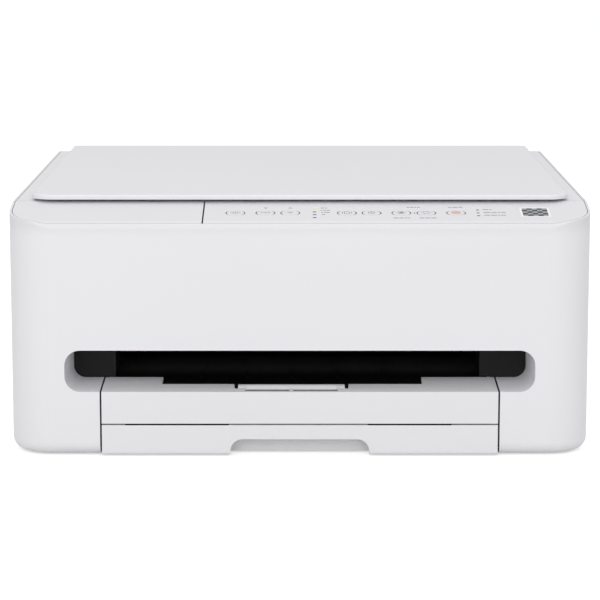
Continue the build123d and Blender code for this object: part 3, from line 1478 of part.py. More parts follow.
# Scanner top: frame round the glass, with the lid's hinge sockets in a step at the back
with BuildPart() as scanner_top:
    with BuildSketch(Plane.XY.offset(skirt_low)):
        plan_outline(unit_inset)
        with Locations((0, half_depth - unit_inset)):
            Rectangle(case_width - 2 * unit_inset, 2 * (unit_back - half_depth + unit_inset))
    extrude(amount=rim_height - skirt_low)
    with BuildSketch(Plane.XY.offset(0)):
        plan_outline(unit_inset + unit_wall)
    extrude(amount=rear_step_z - unit_wall, mode=Mode.SUBTRACT)
    step_half = lid_width / 2 + step_side_gap
    with BuildSketch(Plane.XY.offset(0)):
        plan_outline(unit_inset + unit_wall)
        with Locations((0, rear_step - unit_wall + case_depth / 2)):
            Rectangle(2 * (step_half + unit_wall), case_depth, mode=Mode.SUBTRACT)
    extrude(amount=rim_height - unit_wall, mode=Mode.SUBTRACT)
    slab(-step_half, step_half, rear_step, case_depth, rear_step_z, rim_height, Mode.SUBTRACT)
    slab(-case_width, case_width, -case_depth, strip_back + strip_gap, 0, rim_height, Mode.SUBTRACT)
    ledge_low = glass_low - glass_ledge_thickness
    frame_x = glass_width / 2 + seat_gap + unit_wall
    frame_y = glass_depth / 2 + seat_gap + unit_wall
    slab(glass_x - frame_x, glass_x + frame_x, glass_y - frame_y, glass_y + frame_y, ledge_low, rim_height)
    slab(glass_x - glass_width / 2 - seat_gap, glass_x + glass_width / 2 + seat_gap,
         glass_y - glass_depth / 2 - seat_gap, glass_y + glass_depth / 2 + seat_gap,
         glass_low, rim_height, Mode.SUBTRACT)
    slab(glass_x - glass_width / 2 + glass_ledge, glass_x + glass_width / 2 - glass_ledge,
         glass_y - glass_depth / 2 + glass_ledge, glass_y + glass_depth / 2 - glass_ledge,
         0, rim_height, Mode.SUBTRACT)
    for side in (-1, 1):
        post = mirrored(side, lid_hinge_x - knuckle_width / 2, lid_hinge_x + knuckle_width / 2)
        socket_half = post_depth / 2 + seat_gap + unit_wall
        slab(post[0] - seat_gap - unit_wall, post[1] + seat_gap + unit_wall,
             lid_hinge_y - socket_half, lid_hinge_y + socket_half, post_low, rear_step_z)
        slab(post[0] - seat_gap, post[1] + seat_gap, lid_hinge_y - post_depth / 2 - seat_gap,
             lid_hinge_y + post_depth / 2 + seat_gap, 0, rim_height, Mode.SUBTRACT)
scanner_top.part.label = "scanner_top"

# Blank cover on the left of the sloped strip
with BuildPart() as front_left_cover:
    strip_shell(-half_width, strip_split - strip_gap / 2)
front_left_cover.part.label = "front_left_cover"

# Operation panel with its button holes and the board carrier below them
with BuildPart() as operation_panel:
    strip_shell(strip_split + strip_gap / 2, half_width)
    with BuildSketch(strip_plane):
        with Locations(*[(x, button_line) for x in button_centres.values()]):
            RectangleRounded(button_width + 2 * button_gap, button_depth + 2 * button_gap,
                             button_corner + button_gap)
    extrude(amount=-2 * unit_wall, mode=Mode.SUBTRACT)
    carrier_left = strip_split + carrier_margin
    carrier_right = max(button_centres.values()) + button_width
    with BuildSketch(strip_plane.offset(-carrier_depth)):
        with Locations(((carrier_left + carrier_right) / 2, button_line)):
            Rectangle(carrier_right - carrier_left, carrier_share * button_depth)
    extrude(amount=-board_thickness)
    with BuildSketch(strip_plane.offset(-unit_wall / 2)):
        for x in (carrier_left + carrier_post / 2, carrier_right - carrier_post / 2):
            with Locations((x, button_line)):
                Rectangle(carrier_post, carrier_share * button_depth)
    extrude(amount=unit_wall / 2 - carrier_depth)
operation_panel.part.label = "operation_panel"

# Buttons flush with the panel, each held by a flange under its hole
for name, x in button_centres.items():
    with BuildPart() as button:
        with BuildSketch(strip_plane.offset(-unit_wall - seat_gap - flange_thickness)):
            with Locations((x, button_line)):
                RectangleRounded(button_width, button_depth, button_corner)
        extrude(amount=unit_wall + seat_gap + flange_thickness)
        with BuildSketch(strip_plane.offset(-unit_wall - seat_gap - flange_thickness)):
            with Locations((x, button_line)):
                Rectangle(button_width + 2 * flange_reach, button_depth + 2 * flange_reach)
        extrude(amount=flange_thickness)
    button.part.label = name
    pieces.append(button)

# Scanner glass on its ledge
with BuildPart() as scanner_glass:
    slab(glass_x - glass_width / 2, glass_x + glass_width / 2, glass_y - glass_depth / 2,
         glass_y + glass_depth / 2, glass_low, glass_top)
scanner_glass.part.label = "scanner_glass"

# Steel rail of the scanning bar
with BuildPart() as scan_rail:
    rail_end = half_width - neck_inset - unit_wall
    rod_x(-rail_end, rail_end, glass_y, scan_rail_z, rail_radius)
scan_rail.part.label = "scan_rail"

# Scanning bar under the glass, with its slider on the rail
with BuildPart() as scan_bar:
    bar_x = glass_x - glass_width / 2 + pad_margin
    bar_top_level = ledge_low - seat_gap
    bar_half = glass_depth / 2 - glass_ledge
    with BuildSketch(Plane.XZ.offset(-glass_y - bar_half)):
        with BuildLine():
            Polyline(
                (bar_x - bar_width / 2, bar_top_level - bar_height),
                (bar_x - bar_width / 2, bar_top_level - bar_edge),
                (bar_x - bar_width / 2 + bar_edge, bar_top_level),
                (bar_x + bar_width / 2 - bar_edge, bar_top_level),
                (bar_x + bar_width / 2, bar_top_level - bar_edge),
                (bar_x + bar_width / 2, bar_top_level - bar_height),
                close=True,
            )
        make_face()
    extrude(amount=2 * bar_half)
    slab(bar_x - slider_half, bar_x + slider_half, glass_y - slider_width / 2, glass_y + slider_width / 2,
         scan_rail_z - rail_radius - unit_wall, bar_top_level - bar_height)
    rod_x(bar_x - slider_half, bar_x + slider_half, glass_y, scan_rail_z,
          rail_radius + running_gap, Mode.SUBTRACT)
scan_bar.part.label = "scan_bar"

# Lid: thin cover with a soft top edge and hinge ears at the back
with BuildPart() as lid_cover:
    with BuildSketch(Plane.XY.offset(lid_low)):
        with Locations((0, (lid_front + lid_back) / 2)):
            lid_plan = Rectangle(lid_width, lid_back - lid_front)
        fillet(lid_plan.vertices().group_by(Axis.Y)[0], lid_front_radius)
        fillet(lid_plan.vertices().group_by(Axis.Y)[-1], lid_back_radius)
    extrude(amount=lid_thickness)
    fillet(lid_cover.edges().group_by(Axis.Z)[-1], lid_edge_radius)
    with BuildSketch(Plane.XY.offset(lid_low)):
        with Locations((0, (lid_front + lid_back) / 2)):
            RectangleRounded(lid_width - 2 * unit_wall, lid_back - lid_front - 2 * unit_wall,
                             lid_back_radius - unit_wall)
    extrude(amount=lid_thickness - lid_skin, mode=Mode.SUBTRACT)
    for x in (-lid_hinge_x, lid_hinge_x):
        ear_near = knuckle_width / 2 + seat_gap
        for ear_x in (x - ear_near - lid_ear, x + ear_near):
            rod_x(ear_x, ear_x + lid_ear, lid_hinge_y, lid_hinge_z, knuckle_radius)
            slab(ear_x, ear_x + lid_ear, lid_hinge_y - knuckle_radius, lid_hinge_y + knuckle_radius,
                 lid_hinge_z, lid_top - lid_skin)
        rod_x(x - ear_near, x + ear_near, lid_hinge_y, lid_hinge_z, lid_pin_radius)
lid_cover.part.label = "lid_cover"

# Soft pad that presses the page on the glass
with BuildPart() as lid_pad:
    slab(glass_x - pad_width / 2, glass_x + pad_width / 2,
         glass_y - pad_length / 2, glass_y + pad_length / 2,
         rim_height + seat_gap, lid_top - lid_skin)
lid_pad.part.label = "lid_pad"

# Hinge posts of the lid, which can rise in their sockets over a thick book
with BuildPart() as lid_hinges:
    for x in (-lid_hinge_x, lid_hinge_x):
        slab(x - knuckle_width / 2, x + knuckle_width / 2, lid_hinge_y - post_depth / 2,
             lid_hinge_y + post_depth / 2, post_low + seat_gap, lid_hinge_z)
        rod_x(x - knuckle_width / 2, x + knuckle_width / 2, lid_hinge_y, lid_hinge_z, knuckle_radius)
        rod_x(x - knuckle_width / 2, x + knuckle_width / 2, lid_hinge_y, lid_hinge_z,
              lid_pin_radius + running_gap, Mode.SUBTRACT)
lid_hinges.part.label = "lid_hinges"

pieces += [
    outer_case, base_pan, rubber_feet, output_fascia, chassis, encoder_strip, platen, star_wheel_bar,
    purge_unit, power_supply, main_board, power_inlet, usb_port, feed_motor, carriage_motor,
    carriage_belt, hinge_pins, feed_roller, eject_roller, idler_gear, feed_pinion, star_wheels,
    pinch_rollers, drive_pulley, idler_pulley, carriage, pickup_arm, pickup_roller, cassette_tray,
    cassette_front, guide_pinion, end_paper_guide, output_tray, tray_floor, sheet_stop, rear_cover,
    scanner_base, scanner_top, front_left_cover, operation_panel, scanner_glass, scan_rail, scan_bar,
    lid_cover, lid_pad, lid_hinges,
]

os.makedirs("parts", exist_ok=True)
for piece in pieces:
    export_step(piece.part, f"parts/{piece.part.label}.step")
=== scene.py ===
from math import atan2, cos, radians, sin

import bpy
import numpy as np
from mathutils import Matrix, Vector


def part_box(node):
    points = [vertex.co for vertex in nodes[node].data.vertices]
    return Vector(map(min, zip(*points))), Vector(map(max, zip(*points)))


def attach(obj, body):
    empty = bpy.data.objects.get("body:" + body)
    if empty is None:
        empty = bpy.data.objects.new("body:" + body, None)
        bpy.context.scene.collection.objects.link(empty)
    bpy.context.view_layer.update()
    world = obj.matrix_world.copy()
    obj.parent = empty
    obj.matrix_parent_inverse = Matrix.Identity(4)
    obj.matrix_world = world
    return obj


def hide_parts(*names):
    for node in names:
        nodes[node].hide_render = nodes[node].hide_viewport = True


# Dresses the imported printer: plastics, steel, rubber and glass for its nodes, the printed marks and the
# lights of the sloped strip, the sheet stop in the lip of the tray, and the foam pad under the lid.
# Metres, in the frame's own axes. Lengths given in mm below are turned into metres by MM.

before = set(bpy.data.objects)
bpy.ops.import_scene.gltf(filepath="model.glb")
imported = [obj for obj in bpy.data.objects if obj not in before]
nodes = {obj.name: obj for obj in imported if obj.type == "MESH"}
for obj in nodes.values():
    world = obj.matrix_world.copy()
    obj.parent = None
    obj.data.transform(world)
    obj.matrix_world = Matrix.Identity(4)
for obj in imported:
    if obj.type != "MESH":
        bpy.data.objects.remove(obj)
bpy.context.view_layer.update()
scene = bpy.context.scene
MM = 0.001

# Camera, fitted to the outlines of the case, the lid and the slot
CAMERA_PLACE = (0.0, -1.720, 0.361)
CAMERA_PITCH = 9.47
FOCAL_PIXELS = 2438.0
IMAGE_PIXELS = 600
AXIS_PIXEL = (299.85, 298.0)
SENSOR = 36.0

# Light levels
WORLD_LIGHT = 0.62
FRONT_BOX_POWER = 24.5
TOP_BOX_POWER = 15.0
FLOOR_GLOW = 0.55

# Colours as they look on a screen, from 0 to 255
CASE_WHITE = (232, 231, 234)
TOP_WHITE = (225, 224, 227)
LID_WHITE = (231, 230, 233)
LOWER_WHITE = (230, 230, 232)
GRIP_GREY = (214, 214, 216)
MARK_GREY = (126, 126, 130)
BLACK = (30, 31, 33)
FLANK_GREY = (39, 39, 40)
DEEP_GREY = (104, 104, 105)
FLOOR_BLACK = (8, 8, 9)
FLOOR_GREY = (92, 92, 93)
LABEL_DARK = (34, 34, 38)
LABEL_GREY = (158, 162, 168)
STAGE_GREY = (226, 226, 226)

# Finishes, and painted shade, that share a piece with another: colour, roughness and metal
SHAFT_STEEL = ((198, 199, 202), 0.28, 1)
RUBBER = ((34, 34, 35), 0.8, 0)
ACETAL = ((214, 208, 192), 0.35, 0)
# Painted shade: the case's top rim is darkened to the strip's tone.
RIM_PAINTED_SHADE = (TOP_WHITE, 0.5, 0)
# Painted shade: dark grey on the walls inside the side seams of the tray.
SEAM_PAINTED_SHADE = ((52, 52, 54), 0.6, 0)
# Painted shade: near black on the drawer's top face under the tray's seam.
RECESS_PAINTED_SHADE = ((20, 20, 21), 0.7, 0)
FLANK_FINISH = (FLANK_GREY, 0.6, 0)

# Where the finish or the painted shade of a piece changes, in mm. FAR is past every piece.
FAR = 5000.0
RIM_SHADE_FADE = (143.0, 151.5)
LEFT_BAY_WALL = (-129.1, -128.9)
RIGHT_BAY_WALL = (128.9, 129.1)
BAY_WALL_TOP = 46.0
LEFT_RECESS = (-113.0, -46.0)
RIGHT_RECESS = (44.0, 98.0)
DRAWER_TOP = 20.75
FLOOR_FADE = (-128.0, -94.0)
TUNNEL_LEFT = -121.4
TUNNEL_RIGHT = 118.4
RUBBER_END = 107.0
GEAR_FACE = -146.0
BOARD_FACE = 177.95

# Sleeves on a roller's shaft, in mm: the axis (y, z), and the radius past which the sleeve's finish starts
EJECT_SLEEVE = (-14.0, 54.0, 3.3)
PINCH_SLEEVE = (42.0, 64.3, 1.5)

# Sloped strip, in mm: its front edge (y, z), its angle, the line of the buttons up the slope, and each
# button's middle across
STRIP_FRONT = (-180.0, 152.6)
STRIP_ANGLE = atan2(8.1, 45.1)
BUTTON_LINE = 20.8
BUTTONS = {
    "power_button": -41.6, "network_button": -22.2, "wireless_button": -6.2, "paper_button": 30.4,
    "information_button": 46.3, "black_button": 65.5, "colour_button": 81.6, "stop_button": 100.8,
}

# Marks on the strip, in mm: the line of the signs, the brackets round a button, the lower and upper face of
# the ink above the strip, the points round a patch, and the captions as start, line and lengths of bars
SIGN_LINE = 21.6
BRACKET_MIDDLE = 2.1
BRACKET_RADIUS = 4.1
INK_LOW = 0.01
INK_HIGH = 0.05
PATCH_POINTS = 24
CAPTIONS = [
    (13.4, 31.4, (2.2, 1.6)), (13.4, 26.6, (1.2, 1.6, 2.0)), (13.8, 22.2, (1.2, 3.8)), (14.2, 17.6, (2.0,)),
    (69.4, 33.0, (1.6, 2.2, 1.2, 1.6)), (60.2, 10.4, (3.0, 2.8, 1.8, 1.2)), (76.8, 10.4, (2.8, 3.4, 3.4)),
    (96.2, 33.0, (2.2, 3.4, 2.6)), (118.6, 28.0, (3.6, 1.4)), (118.6, 21.8, (4.6, 3.2, 1.6, 3.0)),
    (118.6, 16.2, (3.8, 4.0, 1.4, 3.0)),
]
LABEL_MIDDLE = (151.9, 22.4)
LABEL_SIDE = 16.4
LABEL_HIGH = 0.08
LABEL_SQUARES = 5.0

# Sheet stop in the lip, in mm: its ends, its back edge, its axis (y, z), the start, run and drop of its
# finger bevel, the ease between the two bevels, its thickness, its barrel and its pins, and how far in from
# its ends the painted shade on its web and barrel starts
STOP_SPAN = (-40.2, 29.2)
STOP_BACK = -160.6
STOP_AXIS = (-169.6, 40.702)
BEVEL_IN_MIDDLE = (-163.5, 2.25, 2.25)
BEVEL_AT_ENDS = (-164.8, 4.7, 1.8)
EASE_START = 3.4
EASE_RUN = 2.6
STOP_THICKNESS = 1.8
BARREL_RADIUS = 0.75
PIN_RADIUS = 0.7
PIN_LENGTH = 4.1
PIN_POINTS = 16
HINGE_SHADE_INSET = 4.5

# Top of the lip: its height in mm at the strip's front edge and its rise towards the back, and the angles
# round the barrel's front
LIP_LEVEL = 42.7
LIP_SLOPE = 2.2 / 38
HINGE_TURN = np.linspace(80, 280, 9)

# Foam pad, in mm: its corner radius, how far its sides pull in, the points round its corners, the gap that
# is divided and into how many parts; then the roundness of its edge and its crown as shares of its size
PAD_CORNER = 8.0
PAD_PULL = 1.2
PAD_POINTS = 160
LONG_GAP = 20.0
RUN_PARTS = 24
PAD_ROUND = 0.012
PAD_CROWN = 0.15


def linear(rgb):
    """Screen colour from 0 to 255 as linear light: c/12.92 below 0.04045, else ((c+0.055)/1.055)^2.4."""
    c = np.asarray(rgb, float) / 255
    light = np.where(c <= 0.04045, c / 12.92, ((c + 0.055) / 1.055) ** 2.4)
    return (*light, 1.0)


# Shader groups


def new_group(name, inputs, outputs):
    """Empty shader group with named sockets: (name, kind, default) in, (name, kind) out."""
    group = bpy.data.node_groups.new(name, "ShaderNodeTree")
    for label, kind, default in inputs:
        socket = group.interface.new_socket(label, in_out="INPUT", socket_type=kind)
        if default is not None:
            socket.default_value = default
    for label, kind in outputs:
        group.interface.new_socket(label, in_out="OUTPUT", socket_type=kind)
    return group, group.nodes.new("NodeGroupInput"), group.nodes.new("NodeGroupOutput")


def moulded_group():
    """Moulded plastic: a fine spark-eroded grain as height, and a slow drift of shade and of gloss."""
    group, inside, outside = new_group(
        "moulded_plastic",
        [
            ("Colour", "NodeSocketColor", (0.8, 0.8, 0.8, 1)),
            ("Roughness", "NodeSocketFloat", 0.5),
            ("Grain Scale", "NodeSocketFloat", 2600.0),
            ("Grain Depth", "NodeSocketFloat", 0.1),
        ],
        [("Colour", "NodeSocketColor"), ("Roughness", "NodeSocketFloat"), ("Normal", "NodeSocketVector")],
    )
    make, join = group.nodes.new, group.links.new
    place = make("ShaderNodeTexCoord")
    grain = make("ShaderNodeTexNoise")
    grain.inputs["Detail"].default_value = 2.0
    join(place.outputs["Object"], grain.inputs["Vector"])
    join(inside.outputs["Grain Scale"], grain.inputs["Scale"])
    bump = make("ShaderNodeBump")
    bump.inputs["Distance"].default_value = 0.00005
    join(inside.outputs["Grain Depth"], bump.inputs["Strength"])
    join(grain.outputs["Fac"], bump.inputs["Height"])
    drift = make("ShaderNodeTexNoise")
    drift.inputs["Scale"].default_value = 9.0
    drift.inputs["Detail"].default_value = 3.0
    join(place.outputs["Object"], drift.inputs["Vector"])
    shade = make("ShaderNodeMapRange")
    shade.inputs["To Min"].default_value = 0.985
    shade.inputs["To Max"].default_value = 1.015
    join(drift.outputs["Fac"], shade.inputs["Value"])
    tint = make("ShaderNodeVectorMath")
    tint.operation = "SCALE"
    join(inside.outputs["Colour"], tint.inputs[0])
    join(shade.outputs["Result"], tint.inputs["Scale"])
    gloss = make("ShaderNodeMapRange")
    gloss.inputs["To Min"].default_value = -0.03
    gloss.inputs["To Max"].default_value = 0.03
    join(drift.outputs["Fac"], gloss.inputs["Value"])
    rough = make("ShaderNodeMath")
    join(inside.outputs["Roughness"], rough.inputs[0])
    join(gloss.outputs["Result"], rough.inputs[1])
    join(tint.outputs["Vector"], outside.inputs["Colour"])
    join(rough.outputs["Value"], outside.inputs["Roughness"])
    join(bump.outputs["Normal"], outside.inputs["Normal"])
    return group


def rolled_group():
    """Rolled or ground steel: streaks along one axis, as shade, gloss and height."""
    group, inside, outside = new_group(
        "rolled_steel",
        [
            ("Colour", "NodeSocketColor", (0.6, 0.6, 0.6, 1)),
            ("Roughness", "NodeSocketFloat", 0.3),
            ("Stretch", "NodeSocketVector", (20.0, 900.0, 900.0)),
        ],
        [("Colour", "NodeSocketColor"), ("Roughness", "NodeSocketFloat"), ("Normal", "NodeSocketVector")],
    )
    make, join = group.nodes.new, group.links.new
    place = make("ShaderNodeTexCoord")
    stretch = make("ShaderNodeVectorMath")
    stretch.operation = "MULTIPLY"
    join(place.outputs["Object"], stretch.inputs[0])
    join(inside.outputs["Stretch"], stretch.inputs[1])
    streak = make("ShaderNodeTexNoise")
    streak.inputs["Scale"].default_value = 1.0
    streak.inputs["Detail"].default_value = 3.0
    join(stretch.outputs["Vector"], streak.inputs["Vector"])
    shade = make("ShaderNodeMapRange")
    shade.inputs["To Min"].default_value = 0.85
    shade.inputs["To Max"].default_value = 1.1
    join(streak.outputs["Fac"], shade.inputs["Value"])
    tint = make("ShaderNodeVectorMath")
    tint.operation = "SCALE"
    join(inside.outputs["Colour"], tint.inputs[0])
    join(shade.outputs["Result"], tint.inputs["Scale"])
    gloss = make("ShaderNodeMapRange")
    gloss.inputs["To Min"].default_value = -0.08
    gloss.inputs["To Max"].default_value = 0.12
    join(streak.outputs["Fac"], gloss.inputs["Value"])
    rough = make("ShaderNodeMath")
    join(inside.outputs["Roughness"], rough.inputs[0])
    join(gloss.outputs["Result"], rough.inputs[1])
    bump = make("ShaderNodeBump")
    bump.inputs["Distance"].default_value = 0.00003
    bump.inputs["Strength"].default_value = 0.2
    join(streak.outputs["Fac"], bump.inputs["Height"])
    join(tint.outputs["Vector"], outside.inputs["Colour"])
    join(rough.outputs["Value"], outside.inputs["Roughness"])
    join(bump.outputs["Normal"], outside.inputs["Normal"])
    return group


def zone_group():
    """Mask that is 1 inside a box given by its low and high corners: the distance from a point to the
    same point held within the box is nought there."""
    group, inside, outside = new_group(
        "box_zone",
        [("Low", "NodeSocketVector", (0, 0, 0)), ("High", "NodeSocketVector", (0, 0, 0))],
        [("Mask", "NodeSocketFloat")],
    )
    make, join = group.nodes.new, group.links.new
    place = make("ShaderNodeTexCoord")
    above, below, apart = (make("ShaderNodeVectorMath") for _ in range(3))
    above.operation, below.operation, apart.operation = "MAXIMUM", "MINIMUM", "DISTANCE"
    join(place.outputs["Object"], above.inputs[0])
    join(inside.outputs["Low"], above.inputs[1])
    join(above.outputs["Vector"], below.inputs[0])
    join(inside.outputs["High"], below.inputs[1])
    join(place.outputs["Object"], apart.inputs[0])
    join(below.outputs["Vector"], apart.inputs[1])
    near = make("ShaderNodeMath")
    near.operation = "LESS_THAN"
    near.inputs[1].default_value = 0.00001
    join(apart.outputs["Value"], near.inputs[0])
    join(near.outputs["Value"], outside.inputs["Mask"])
    return group


def sleeve_group():
    """Mask that is 1 farther than a radius from an axis along x: the distance is taken in y and z alone."""
    group, inside, outside = new_group(
        "sleeve_zone",
        [("Axis", "NodeSocketVector", (0, 0, 0)), ("Radius", "NodeSocketFloat", 0.003)],
        [("Mask", "NodeSocketFloat")],
    )
    make, join = group.nodes.new, group.links.new
    place = make("ShaderNodeTexCoord")
    across, flat, reach = (make("ShaderNodeVectorMath") for _ in range(3))
    across.operation, flat.operation, reach.operation = "SUBTRACT", "MULTIPLY", "LENGTH"
    flat.inputs[1].default_value = (0, 1, 1)
    join(place.outputs["Object"], across.inputs[0])
    join(inside.outputs["Axis"], across.inputs[1])
    join(across.outputs["Vector"], flat.inputs[0])
    join(flat.outputs["Vector"], reach.inputs[0])
    far = make("ShaderNodeMath")
    far.operation = "GREATER_THAN"
    join(reach.outputs["Value"], far.inputs[0])
    join(inside.outputs["Radius"], far.inputs[1])
    join(far.outputs["Value"], outside.inputs["Mask"])
    return group


def fade_group():
    """Mask that rises smoothly from 0 to 1 between two distances along a direction, which is the place's
    dot product with it."""
    group, inside, outside = new_group(
        "fade_zone",
        [
            ("Direction", "NodeSocketVector", (0, 0, 1)),
            ("From", "NodeSocketFloat", 0.0),
            ("To", "NodeSocketFloat", 1.0),
        ],
        [("Mask", "NodeSocketFloat")],
    )
    make, join = group.nodes.new, group.links.new
    place = make("ShaderNodeTexCoord")
    along = make("ShaderNodeVectorMath")
    share = make("ShaderNodeMapRange")
    along.operation = "DOT_PRODUCT"
    share.interpolation_type = "SMOOTHSTEP"
    join(place.outputs["Object"], along.inputs[0])
    join(inside.outputs["Direction"], along.inputs[1])
    join(along.outputs["Value"], share.inputs["Value"])
    join(inside.outputs["From"], share.inputs["From Min"])
    join(inside.outputs["To"], share.inputs["From Max"])
    join(share.outputs["Result"], outside.inputs["Mask"])
    return group


MOULDED = moulded_group()
ROLLED = rolled_group()
BOX_ZONE = zone_group()
SLEEVE_ZONE = sleeve_group()
FADE_ZONE = fade_group()

# Materials


def new_material(name):
    """Material with its Principled shader, ready for links."""
    material = bpy.data.materials.new(name)
    material.use_nodes = True
    tree = material.node_tree
    return material, tree, tree.nodes["Principled BSDF"]


def dressed(name, group, colour, roughness, **settings):
    """Material whose colour, roughness and normal come from a shared group."""
    material, tree, shader = new_material(name)
    effect = tree.nodes.new("ShaderNodeGroup")
    effect.node_tree = group
    effect.inputs["Colour"].default_value = linear(colour)
    effect.inputs["Roughness"].default_value = roughness
    for label, value in settings.items():
        effect.inputs[label.replace("_", " ")].default_value = value
    tree.links.new(effect.outputs["Colour"], shader.inputs["Base Color"])
    tree.links.new(effect.outputs["Roughness"], shader.inputs["Roughness"])
    tree.links.new(effect.outputs["Normal"], shader.inputs["Normal"])
    return material, tree, shader, effect


def plastic(name, colour, roughness=0.55, grain=2600.0, depth=0.1, gloss=0.4):
    """Moulded plastic in one colour."""
    material, _, shader, _ = dressed(
        name, MOULDED, colour, roughness, Grain_Scale=grain, Grain_Depth=depth
    )
    shader.inputs["Specular IOR Level"].default_value = gloss
    return material


def steel(name, colour, roughness=0.3, stretch=(20.0, 900.0, 900.0)):
    """Rolled or ground steel."""
    material, _, shader, _ = dressed(name, ROLLED, colour, roughness, Stretch=stretch)
    shader.inputs["Metallic"].default_value = 1.0
    return material


def glass_material():
    """Clear float glass with a faint green body colour."""
    material, tree, shader = new_material("scanner_glass_clear")
    place = tree.nodes.new("ShaderNodeTexCoord")
    smear = tree.nodes.new("ShaderNodeTexNoise")
    smear.inputs["Scale"].default_value = 14.0
    level = tree.nodes.new("ShaderNodeMapRange")
    level.inputs["To Min"].default_value = 0.0
    level.inputs["To Max"].default_value = 0.05
    tree.links.new(place.outputs["Object"], smear.inputs["Vector"])
    tree.links.new(smear.outputs["Fac"], level.inputs["Value"])
    tree.links.new(level.outputs["Result"], shader.inputs["Roughness"])
    shader.inputs["Base Color"].default_value = linear((236, 244, 242))
    shader.inputs["Transmission Weight"].default_value = 1.0
    shader.inputs["IOR"].default_value = 1.52
    return material


def zoned(name, look, zones, gloss=0.5):
    """Material of a piece made of several finishes; on the case and the drawer some of them are painted
    shade.

    A zone is a mask group, its settings and a finish. Its mask mixes in that colour, roughness and metal.
    """
    colour, roughness, metal = look
    material, tree, shader, effect = dressed(name, MOULDED, colour, roughness)
    make, join = tree.nodes.new, tree.links.new
    held = [None, None, None]
    plain = [linear(colour), roughness, metal]
    for group, settings, (zone_colour, zone_roughness, zone_metal) in zones:
        mask = make("ShaderNodeGroup")
        mask.node_tree = group
        for label, value in settings.items():
            mask.inputs[label].default_value = value
        other = [linear(zone_colour), zone_roughness, zone_metal]
        for k, kind in enumerate(("RGBA", "FLOAT", "FLOAT")):
            mix = make("ShaderNodeMix")
            mix.data_type = kind
            ports = [port for port in mix.inputs if port.enabled]
            join(mask.outputs["Mask"], ports[0])
            ports[2].default_value = other[k]
            if held[k] is None:
                ports[1].default_value = plain[k]
            else:
                join(held[k], ports[1])
            held[k] = [port for port in mix.outputs if port.enabled][0]
    join(held[0], effect.inputs["Colour"])
    join(held[1], effect.inputs["Roughness"])
    join(held[2], shader.inputs["Metallic"])
    shader.inputs["Specular IOR Level"].default_value = gloss
    return material


def between(low_x, high_x, low_z=-FAR, high_z=FAR):
    """Settings of a box zone between two places across, and if given two heights, in mm."""
    low, high = np.array([(low_x, -FAR, low_z), (high_x, FAR, high_z)]) * MM
    return {"Low": low, "High": high}


def fade(direction, start, end):
    """Settings of a fade zone between two distances along a direction, in mm."""
    return {"Direction": direction, "From": start * MM, "To": end * MM}


def sleeve(y, z, radius):
    """Settings of a sleeve zone round an axis along x, in mm."""
    return {"Axis": (0, y * MM, z * MM), "Radius": radius * MM}


def label_material():
    """Printed label: an even pattern of small grey squares on a dark ground, from the piece's own map."""
    material, tree, shader = new_material("label_print")
    place = tree.nodes.new("ShaderNodeUVMap")
    place.uv_map = "pattern"
    squares = tree.nodes.new("ShaderNodeTexChecker")
    squares.inputs["Scale"].default_value = LABEL_SQUARES
    squares.inputs["Color1"].default_value = linear(LABEL_DARK)
    squares.inputs["Color2"].default_value = linear(LABEL_GREY)
    tree.links.new(place.outputs["UV"], squares.inputs["Vector"])
    tree.links.new(squares.outputs["Color"], shader.inputs["Base Color"])
    shader.inputs["Roughness"].default_value = 0.45
    return material


